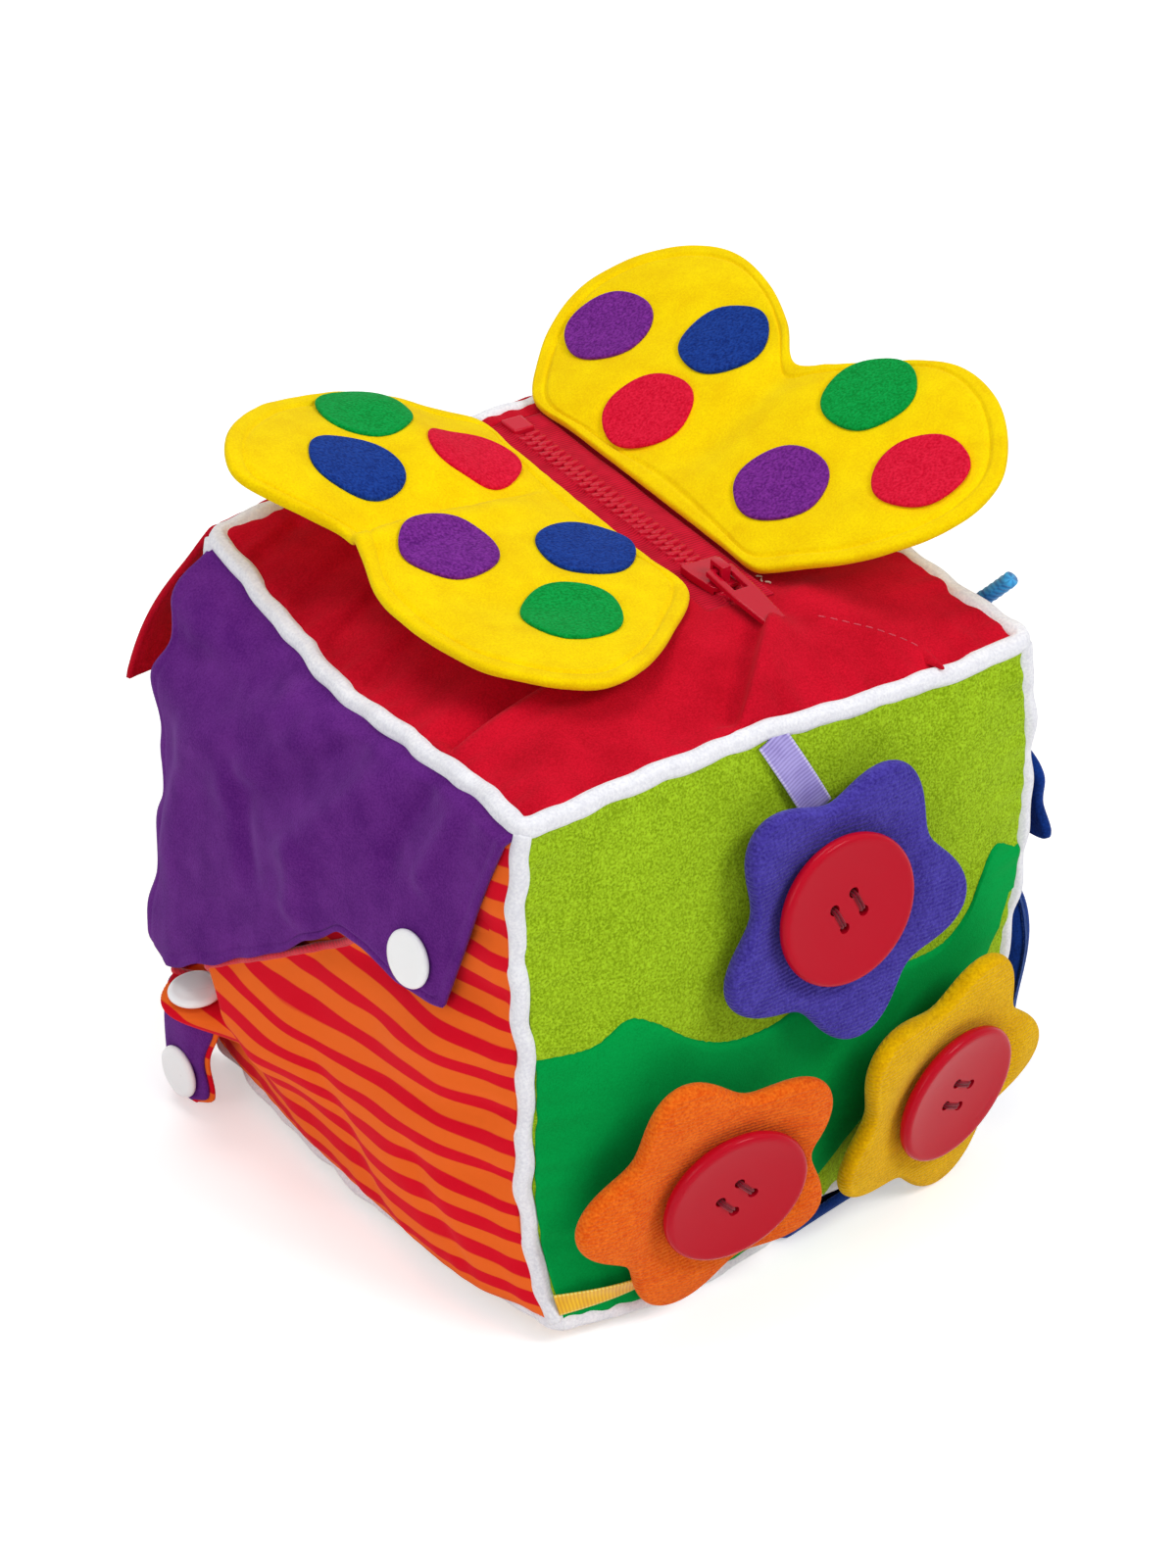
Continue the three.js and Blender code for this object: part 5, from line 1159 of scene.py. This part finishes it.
def spun(profile, steps=96):
    """A body turned from its profile, in mm."""
    bm = bmesh.new()
    verts = [bm.verts.new((r * MM, 0, z * MM)) for r, z in profile]
    edges = [bm.edges.new(pair) for pair in zip(verts, verts[1:])]
    bmesh.ops.spin(bm, geom=verts + edges, angle=2 * math.pi, steps=steps, axis=(0, 0, 1), cent=(0, 0, 0))
    bmesh.ops.remove_doubles(bm, verts=bm.verts[:], dist=1e-6)
    bmesh.ops.recalc_face_normals(bm, faces=bm.faces[:])
    return bm


def drilled(bm, spots, radius):
    """The spun body with round holes through it."""
    body = piece_from("drilled_body", bm, button_red)
    cutter_bm = bmesh.new()
    for x, y in spots:
        bmesh.ops.create_cone(cutter_bm, cap_ends=True, segments=24, radius1=radius, radius2=radius,
                              depth=12 * MM, matrix=Matrix.Translation((x * MM, y * MM, 2 * MM)))
    cutter = piece_from("drills", cutter_bm, button_red)
    cut = body.modifiers.new("holes", "BOOLEAN")
    cut.object, cut.operation, cut.solver = cutter, "DIFFERENCE", "EXACT"
    holed = bmesh.new()
    holed.from_mesh(bpy.data.meshes.new_from_object(body.evaluated_get(bpy.context.evaluated_depsgraph_get())))
    for used in (body, cutter):
        bpy.data.objects.remove(used)
    return holed


HOLE_REACH, HOLE_TURN, HOLE_RADIUS = 4.5, math.radians(26), 1.4 * MM
BUTTON_BEHIND, BUTTON_WELL = 5.3, 2.8
# A strand of thread over two holes: how far along it is, and its height over the button's well, or the shank
STRAND = (
    (0.3, None), (0.06, -1.8), (0.09, -0.2), (0.22, 0.12), (0.5, 0.2), (0.78, 0.12), (0.91, -0.2),
    (0.94, -1.8), (0.7, None),
)
for i, (name, _, _, _, _, lift, shank_low, _) in enumerate(FLOWERS):
    back_at = lift + BUTTON_BEHIND
    turns = [HOLE_TURN + 0.3 * i + math.pi / 4 * (2 * k + 1) for k in range(4)]
    holes = [np.array((HOLE_REACH * math.cos(a), HOLE_REACH * math.sin(a))) for a in turns]
    place = flower_frames[name] @ Matrix.Translation((0, 0, back_at * MM))
    button = piece_from(f"{name}_button_cast", drilled(spun(BUTTON), holes, HOLE_RADIUS), button_red, place)
    button.data.set_sharp_from_angle(angle=math.radians(50))
    seat(button, "block", "button_red", f"button_{name}")
    basis = np.array(flower_frames[name])
    to_world = lambda p: np.asarray(p, float) * MM @ basis[:3, :3].T + basis[:3, 3]
    shank_high, well = back_at - 0.2, back_at + BUTTON_WELL
    strands = []
    for a, b in ((holes[0], holes[3]), (holes[1], holes[2])):
        beside = np.array((a[1] - b[1], b[0] - a[0])) / np.linalg.norm(a - b)
        for slip_by in (-0.4, 0.4):
            run = [(*(a + (b - a) * share + beside * slip_by), shank_high if height is None else well + height)
                   for share, height in STRAND]
            strands.append(tube("strand", spline(to_world(run), 40), 0.38 * MM, 8, red_thread))
    shank = spline(to_world([(0, 0, shank_low), (0, 0, (shank_low + shank_high) / 2), (0, 0, shank_high)]), 40)
    wound = lambda along, angle: 1 + 0.08 * np.sin(2 * math.pi * along / (0.9 * MM) + angle)
    strands.append(tube("shank", shank, 1.65 * MM, 16, red_thread, shape=wound))
    seat(joined(f"{name}_thread_sewn", strands, red_thread), "block", "red_thread", f"thread_{name}")

# %% Ribbons caught in the seams
# Each has its start and end on the lime panel, its height, and how narrow it looks where it is twisted
RIBBONS = (
    ("lilac", (0.472, 0.996), (0.538, 0.85), 1.5, 1.0),
    ("gold", (0.002, 0.046), (0.18, 0.06), 2.6, 0.5),
    ("orange", (0.965, 0.25), (0.885, 0.24), 1.5, 1.0),
)
for name, start, end, above, narrowing in RIBBONS:
    run = np.subtract(end, start)
    across = np.array((-run[1], run[0])) / np.linalg.norm(run) * RIBBON_WIDTH / 2 / EDGE

    def ribbon_place(s, t):
        tilt = np.arccos(narrowing + (1 - narrowing) * 0.6 * (1 - s))
        u, v = (start[i] + run[i] * s + across[i] * (2 * t - 1) * np.cos(tilt) for i in (0, 1))
        arch = (0.45 * ease(s) + 0.5 * np.sin(math.pi * s) + 0.12 * np.sin(2 * math.pi * t + 3 * s)) * MM
        arch = arch + 1.3 * MM * (2 * t - 1) * np.sin(tilt)
        return face_point("flower", u, v, (above + 0.2) * MM + arch)

    cloth_size = (2 * RIBBON_WIDTH, RIBBON_WIDTH)
    ribbon = grid_piece(f"{name}_ribbon_woven", (30, 14), ribbon_place, satins[name], uv_size=cloth_size)
    seat(thicken(ribbon, 0.35 * MM, 1.0), "block", f"{name}_satin", f"ribbon_{name}")

# %% [markdown]
# ## The snap side
# A lined purple flap hangs from the far left seam and stands off over a striped pocket. Its hem is stitched
# 3 mm in. A short tab wraps round from the back. White press snaps close both, and the flap's far corner
# droops.

# %% Sizes of the snap side
STAND_OFF = ((0.14, 0), (0.28, 0.09), (0.5, 0.05), (0.65, 0.052), (0.78, 0.07), (0.9, 0.045), (0.985, 0))
FLAP_HEM = (
    (-0.02, 0.23), (0.1, 0.28), (0.24, 0.37), (0.38, 0.465), (0.5, 0.555), (0.6, 0.625), (0.7, 0.615),
    (0.8, 0.605), (0.88, 0.613),
)
POCKET_TOP = (
    (0.006, 0.19), (0.12, 0.28), (0.3, 0.405), (0.46, 0.51), (0.6, 0.6), (0.8, 0.79), (0.9, 0.905),
    (0.994, 0.985),
)
HINGE_LIFT, SEAM_TOP = 3.5 * MM, 1 - 1 * MM / EDGE


def tip(u, v):
    """How far the flap's snapped corner is pushed out by the pocket under it."""
    return 3.5 * MM * ease((u - 0.5) / 0.35) * ease((0.8 - v) / 0.3)


def stand_off(u, v):
    return EDGE * table(STAND_OFF, v) * (1 - ease(u / 0.75)) + tip(u, v)


def flap_point(u, v, lift):
    return face_point("snap", u, v, HINGE_LIFT + stand_off(u, v) + lift)


def pocket_point(u, v, lift):
    held = tip(u, v) * ease((u - 0.84) / 0.12)
    return face_point("snap", u, v, 1.5 * MM + stand_off(u, v) - held + lift)


def hemmed(s, t, size, sides=(1, 1, 1, 0), at=3.0):
    """The dent of a stitch line that runs at mm inside the chosen edges: low, left, right, high."""
    away = np.full_like(s, 9.0)
    for used, d in zip(sides, (t * size[1], s * size[0], (1 - s) * size[0], (1 - t) * size[1])):
        if used:
            away = np.minimum(away, d)
    edge = 1 - ease(away / (1.4 * MM))
    return (-0.4 * hump(away - at * MM, 0.8 * MM) - 0.3 * edge) * MM, away


# %% Flap
FLAP_FOLDS = (
    ((0.42, 0.98), (0.12, 0.74), 2.6, 4.5, 7.0), ((0.36, 0.99), (0.02, 0.84), -2.0, 4.0, 6.0),
    ((0.60, 0.98), (0.28, 0.72), -2.6, 4.0, 7.0), ((0.70, 0.98), (0.42, 0.68), 2.6, 4.5, 7.0),
    ((0.78, 0.98), (0.70, 0.78), -2.0, 3.6, 5.0), ((0.86, 0.97), (0.80, 0.80), 2.0, 3.6, 5.0),
    ((0.28, 0.80), (0.34, 0.58), -2.2, 4.5, 6.0), ((0.14, 0.76), (0.02, 0.42), 2.4, 5.0, 8.0),
    ((0.5, 0.75), (0.46, 0.58), 1.8, 4.5, 6.0), ((0.50, 0.98), (0.22, 0.70), 1.2, 3.5, 5.0),
)
FLAP_LENGTH = 0.135


def flap_place(s, t):
    """The flap from its hem, t 0, to its hinge; the last part of it is tucked into the seam."""
    hem_u, top_u = -0.012 + 0.887 * s, 0.004 + 0.994 * s
    hem = smooth_line(FLAP_HEM, hem_u) + 0.005 * wave(s * FLAP_LENGTH, 136, (15, 24))
    u, v = hem_u + (top_u - hem_u) * t, hem + (1.0 - hem) * t
    u = u - 0.018 * np.exp(-s / 0.06) * ease(t / 0.1) * ease((1 - t) / 0.1) * wave(t * 0.1, 135, (19, 33))
    tucked = 1 - ease((t - 0.93) / 0.07)
    points = flap_point(u, v, (0.8 * MM + HINGE_LIFT) * tucked - HINGE_LIFT)
    dent, away = hemmed(s, t, (FLAP_LENGTH, 0.085))
    soft = 0.6 * MM * ripple(points, 52 * MM, 131) * ease(t / 0.1) * ease(s / 0.1) * ease((1 - s) / 0.1)
    gathers = 0.5 * MM * np.exp(-(1 - t) / 0.16) * wave(s * 0.146, 133, (9, 14, 23))
    tuck = 0.6 * MM * wave(s * FLAP_LENGTH, 134, (13, 21, 34)) * np.exp(-away / (6 * MM))
    height = dent + soft + gathers + tuck + folds(u, v, FLAP_FOLDS)
    return points + (height * tucked)[:, None] * OUT["snap"]


flap = grid_piece("purple_flap_twill", (150, 110), flap_place, purple_flap, uv_size=(0.14, 0.09))
seat(thicken(flap, 1.5 * MM, 0.0), "flap", "purple_velour", "snap_flap")


# %% Pocket and its wavy red binding
POCKET_FOLDS = (
    ((1.0, 0.80), (0.62, 0.70), -1.5, 5.0), ((1.0, 0.67), (0.45, 0.55), -2.2, 6.0),
    ((1.0, 0.56), (0.7, 0.47), 1.3, 5.0), ((1.0, 0.43), (0.66, 0.36), -1.4, 4.5),
    ((1.0, 0.3), (0.72, 0.22), -1.2, 4.5), ((0.86, 0.02), (0.76, 0.3), -1.3, 5.0),
    ((0.62, 0.02), (0.5, 0.34), -1.6, 6.0), ((0.4, 0.02), (0.34, 0.26), 1.3, 6.0),
    ((0.26, 0.1), (0.5, 0.42), 1.6, 9.0),
)
POCKET_CAP, CAP_SHELF = (0.15, 0.235), (0.995, 0.0, 0.1)


def shelf_point(u, v, lift):
    """The pocket's corner near its snap, which bends out so that its cap looks up."""
    across, rise = ((POCKET_CAP[0] - u) * EDGE)[:, None], ((v - POCKET_CAP[1]) * EDGE)[:, None]
    middle = pocket_point(*POCKET_CAP, 2.4 * MM)
    return middle + across * (0, 1, 0) + rise * CAP_SHELF + lift * np.array((-CAP_SHELF[2], 0, CAP_SHELF[0]))


def pocket_cloth(s, t):
    u = 0.006 + 0.988 * s
    return u, 0.008 + (smooth_line(POCKET_TOP, u) - 0.008) * t


def pocket_place(s, t):
    u, v = pocket_cloth(s, t)
    in_from_sides = np.minimum(u, 1 - u)
    sewn = np.minimum(in_from_sides, v) * EDGE
    points = pocket_point(u, v, 0.0) - (1.1 * MM * (1 - ease(sewn / (7 * MM))))[:, None] * OUT["snap"]
    height = folds(u, v, POCKET_FOLDS) + 0.5 * MM * ripple(points, 40 * MM, 142)
    pulled = 0.55 * MM * wave(v * EDGE, 143, (7, 11, 19)) * np.exp(-in_from_sides * EDGE / (10 * MM))
    pulled += 0.5 * MM * wave(u * EDGE, 141, (7, 10, 16)) * np.exp(-v * EDGE / (9 * MM))
    hem = 0.6 * MM * wave(u * EDGE, 144, (11, 17, 29)) * np.exp(-(1 - t) / 0.06) * ease((1 - u) / 0.1)
    points = points + (ease(sewn / (4 * MM)) * (height + pulled) + hem + 0.8 * MM)[:, None] * OUT["snap"]
    from_cap = np.hypot(POCKET_CAP[0] - u, v - POCKET_CAP[1]) * EDGE
    hold = ease((19 * MM - from_cap) / (11 * MM))[:, None]
    return points * (1 - hold) + shelf_point(u, v, 0.0) * hold


pocket = grid_piece(
    "striped_pocket_cloth", (170, 100), pocket_place, stripes,
    cloth=lambda s, t: tuple(c * EDGE for c in pocket_cloth(s, t)),
)
seat(thicken(pocket, 1.2 * MM, 0.0), "block", "striped_cotton", "snap_pocket")

edge_share = np.linspace(0.012, 0.99, 120)
edge_route = pocket_place(edge_share, np.ones_like(edge_share))
folded = lambda along, angle: 1 + 0.1 * wave(along, 147, (7, 11, 17)) + 0.12 * np.cos(2 * angle)
pocket_binding = tube("pocket_edge_binding", spline(edge_route, 260), 1.25 * MM, 14, red_binding, shape=folded)
seat(pocket_binding, "block", "red_lining")

# %% Tab with its striped lining
TAB_PATH = np.array(((-0.4973, 0.484), (-0.627, 0.493), (-0.58, 0.313))) * EDGE


def tab_point(s, t, lift):
    """s runs from the hinge to the free end, and t up."""
    a, b, c = TAB_PATH
    s = np.asarray(s)[:, None]
    spot = a * (1 - s) ** 2 + 2 * b * s * (1 - s) + c * s**2
    way = 2 * (b - a) * (1 - s) + 2 * (c - b) * s
    way /= np.linalg.norm(way, axis=1)[:, None]
    out = np.column_stack([way[:, 1], -way[:, 0]])
    low, high = 0.02 * EDGE, (0.2 + 0.02 * s[:, 0]) * EDGE
    spot = spot + out * np.atleast_1d(lift)[:, None]
    return np.column_stack([spot, low + (high - low) * t])


def tab_shape(layer, inset):
    """The tab at a layer in mm; the lining, a little larger, shows round the edge of the twill."""
    def place(s, t):
        dent, _ = hemmed(s, t, (0.034, 0.028), (1, 0, 1, 1), 2.4)
        soft = 0.5 * MM * ripple(np.column_stack([s, t]) * 0.03, 16 * MM, 151)
        soft += 1.2 * MM * np.sin(2.6 * t + 0.4) * s
        round_end = 1 - 0.1 * (1 - ease(np.minimum(t, 1 - t) / 0.16)) ** 2 - 0.05 * (1 - t)
        grown = 0.5 + (t - 0.5) * (1 + inset) * (1 - 0.05 * s**6)
        in_seam = 0.07 * (1 - s) ** 6
        along = s * (round_end + 0.5 * inset) + 0.02 * s * np.sin(9 * t) - in_seam
        return tab_point(along, grown, layer * MM + soft + (dent if layer > 0 else 0))

    return place


TAB_SIDES = (
    ("tab_purple_side", 0.45, 0, purple_flap, 0.8, 0.001, "purple_velour", ("snap_tab",)),
    ("tab_striped_side", -0.4, 0.05, stripes, 0.7, 0.00104, "striped_cotton", ()),
)
for name, layer, inset, cloth, thickness, area, slot, nodes in TAB_SIDES:
    side = grid_piece(name, (50, 40), tab_shape(layer, inset), cloth, uv_size=(0.03, 0.028))
    seat(thicken(side, thickness * MM, 0.0), "tab", slot, *nodes)

# %% Press snaps
CAP = (
    (0, 0), (5.6, 0), (6.9, 0.1), (7.2, 0.5), (7.2, 1.0), (6.9, 1.5), (6.2, 1.85), (5.6, 1.95), (5.0, 1.9),
    (4.2, 2.05), (2.6, 2.25), (0, 2.35),
)


def snap_cap(name, surface, a, b, lift, body, node):
    """A cap on a cloth, at a and b of its surface."""
    at = lambda p, q: surface(np.array([p]), np.array([q]), np.array([lift]))[0]
    x = Vector(at(a + 0.02, b) - at(a - 0.02, b)).normalized()
    out = x.cross(Vector(at(a, b + 0.02) - at(a, b - 0.02))).normalized()
    made = piece_from(name, spun(CAP, 64), snap_white, placed(at(a, b), x, out))
    return seat(made, body, "snap_white", node)


snap_cap("flap_snap_cap", flap_point, 0.8, 0.672, 2.2 * MM, "flap", "cap_flap")
snap_cap("pocket_snap_cap", shelf_point, *POCKET_CAP, 1.5 * MM, "block", "cap_pocket")
snap_cap("tab_snap_cap", tab_point, 0.76, 0.27, 1.4 * MM, "tab", "cap_tab")


# %% [markdown]
# ## Back flap
# A red flap, lined, hangs from the far seam and flares out at its hem.

# %% Back flap
BACK_FLAP = (0.155, 0.05)


def back_flap_place(s, t):
    """The back flap from its hem, t 0, to its hinge; it flares out towards the hem."""
    hem, top = -0.02 + 1.09 * s, 0.03 + 0.955 * s
    lift = HINGE_LIFT + 1 * MM + 18 * MM * np.sin(math.pi / 2 * (1 - t))
    points = face_point("back", hem + (top - hem) * t, 0.7 + (SEAM_TOP - 0.7) * t, lift)
    dent, _ = hemmed(s, t, BACK_FLAP)
    soft = 0.9 * MM * ripple(points, 42 * MM, 161) * ease((1 - t) / 0.3)
    flutter = 1.1 * MM * (1 - t) ** 2 * wave(s * BACK_FLAP[0], 162, (31, 47, 70))
    gathers = 0.5 * MM * np.exp(-(1 - t) / 0.15) * wave(s * 0.15, 163, (9, 14, 23))
    return points + (dent + soft + flutter + gathers)[:, None] * OUT["back"]


back_flap = grid_piece("red_back_flap_cloth", (140, 60), back_flap_place, red_top, uv_size=BACK_FLAP)
seat(thicken(back_flap, 1.7 * MM, 0.0), "back_flap", "red_velour", "red_flap")

# %% [markdown]
# ## The shoe side
# A padded navy upper is sewn flat along its edge, a lined tongue stands above it, and the lace zigzags over
# the opening before its free end leaves to the right.


# %% Shoe upper, tongue and lace
UPPER = (
    (0, 0.1), (0.08, 0.055), (0.25, 0.05), (0.6, 0.055), (0.86, 0.08), (0.95, 0.16), (0.92, 0.3), (0.76, 0.43),
    (0.56, 0.5), (0.34, 0.5), (0.16, 0.47), (0.04, 0.43), (-0.005, 0.36), (-0.01, 0.22),
)
TONGUE = (
    (0, 0.55), (0.03, 0.6), (0.035, 0.66), (0.11, 0.71), (0.26, 0.725), (0.42, 0.7), (0.54, 0.63),
    (0.56, 0.55), (0.4, 0.53), (0.2, 0.53),
)


def shoe_surface(rise, reach):
    """The shoe side, with room for the padding that grows towards the near seam."""
    def surface(a, b, height):
        return face_point("shoe", a / EDGE, b / EDGE, 1.5 * MM + rise * (1 - ease(a / EDGE / reach)) + height)

    return surface


def upper_shape(flat, inset, top, full):
    """A piped edge, a seam across the toe, and a crown."""
    piped = groove(inset, 5.0 * MM, 1.3 * MM, 1.1 * MM)
    toe_line = flat[:, 0] - 0.62 * EDGE - 0.12 * (flat[:, 1] - 0.25 * EDGE)
    inner = ease(inset / (8 * MM))
    toe_seam = groove(toe_line, 0, 1.1 * MM, 0.9 * MM) * inner
    crowned = 2.2 * MM * ease((inset - 5 * MM) / (22 * MM)) - 2.2 * MM
    return np.where(top > 0, piped + toe_seam + crowned + 0.6 * MM * ripple(flat, 32 * MM, 171) * inner, 0)


def tongue_shape(flat, inset, top, full):
    soft = 0.3 * MM * ripple(flat, 26 * MM, 181) * ease(inset / (6 * MM))
    return np.where(top > 0, groove(inset, 3 * MM, 0.8 * MM, 0.4 * MM) + soft, 0)


upper = pad("navy_shoe_upper", np.array(UPPER) * EDGE, np.array((0.45, 0.27)) * EDGE,
            shoe_surface(2 * MM, 0.09), 11 * MM, navy_pile, (90, 200), 6.5 * MM, upper_shape, band=14 * MM)
seat(upper, "block", "navy_velour", "shoe_upper")
tongue = pad("navy_shoe_tongue", np.array(TONGUE) * EDGE, np.array((0.3, 0.62)) * EDGE,
             shoe_surface(8 * MM, 0.3), 3 * MM, navy_pile, (60, 140), 1.5 * MM, tongue_shape, band=8 * MM)
seat(tongue, "tongue", "navy_velour", "shoe_tongue")

LACED = np.array(((0.7, 0.77), (0.5, 0.785), (0.32, 0.8), (0.5, 0.83), (0.7, 0.85), (0.5, 0.87), (0.32, 0.9)))
laced_route = spline(face_point("shoe", *LACED.T, 3.5 * MM), 160)
laced = tube("lace_through_eyelets", laced_route, LACE_WIDTH / 2, 20, lace_braid, shape=braid_lumps)
seat(laced, "block", "blue_braid", "shoe_lace")
EYELET_RADIUS, EYELET_THREAD = 3.4 * MM, 0.9 * MM


def eyelet(u, v):
    """Buttonhole thread worked round the hole that the lace goes through."""
    turn = np.linspace(0, 2 * math.pi, 25)[:-1]
    radius = EYELET_RADIUS / EDGE
    ring = face_point("shoe", u + radius * np.cos(turn), v + radius * np.sin(turn), 1.9 * MM)
    return tube("eyelet", np.vstack([ring, ring[:1]]), EYELET_THREAD, 8, pale_thread, closed=True)


eyelets = joined("lace_eyelets_sewn", [eyelet(u, v) for u, v in LACED[::2]], pale_thread)
seat(eyelets, "block", "blue_braid")

# %% [markdown]
# ## Stitches
# Small threads lie on the top's cloth: a dashed line that closes the stuffing hole, and a loose tack where the
# right tape ends.


# %% Stitch lines
def stitches(name, line, above, length, gap, radius, material):
    """Short raised threads in a row on the red top, through the places of a line."""
    route = on_cloth("top", *spline(line, 120).T, **TOP_CLOTH, above=above)
    run = run_of(route)
    strands = []
    for start in np.arange(gap, run[-1] - length, length + gap):
        at = np.linspace(start, start + length, 7)
        points = np.column_stack([np.interp(at, run, route[:, i]) for i in range(3)])
        strands.append(tube("strand", points, radius, 6, material))
    return seat(joined(name, strands, material), "block", "red_thread")


CLOSING = ((0.705, 0.172), (0.765, 0.121), (0.805, 0.085), (0.826, 0.055), (0.828, 0.04))
TACK = ((0.706, 0.325), (0.716, 0.318), (0.706, 0.306), (0.716, 0.296), (0.704, 0.288))
stitches("top_closing_stitches", CLOSING, 0.08 * MM, 2.0 * MM, 0.9 * MM, 0.16 * MM, pink_thread)
stitches("zip_end_tack", TACK, 0.2 * MM, 2.0 * MM, 0.3 * MM, 0.25 * MM, cream_thread)

# %% The tuck at the end of the closing stitches
tuck_foot = face_point("top", 0.829, 0.035, CLOTH)[0]
tuck_tip = seam("x", -1, 1, 0.82)[0] + np.array((0, -1.8, 2.9)) * MM
TUCK_LENGTH, TUCK_OUT = 7 * MM, np.array((0.0, -0.45, 0.89))
TUCK = ((-2.2, -2), (-1.5, 2), (-0.7, 5.3), (0, 7.4), (0.6, 5.3), (1.6, 2), (2.2, -2), (0, -3.5))


def tuck_surface(a, b, height):
    """a runs across the tuck, and b from its foot to its tip."""
    spine = tuck_foot + np.outer(b / TUCK_LENGTH, tuck_tip - tuck_foot)
    return spine + np.outer(a, (1, 0, 0)) + np.outer(height - a**2 / (2 * MM), TUCK_OUT)


tuck = pad("top_tuck", np.array(TUCK) * MM, (0, 2 * MM), tuck_surface, 1.2 * MM, red_top, (20, 48), 0.6 * MM,
           band=1 * MM)
seat(tuck, "block", "red_velour")

# %% Bounds and finish
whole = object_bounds()
for label, (low, high) in (("CAD", cad_box), ("dressed", whole)):
    print(label, "box, mm:", [round(c * 1000, 1) for c in (*low, *high)])
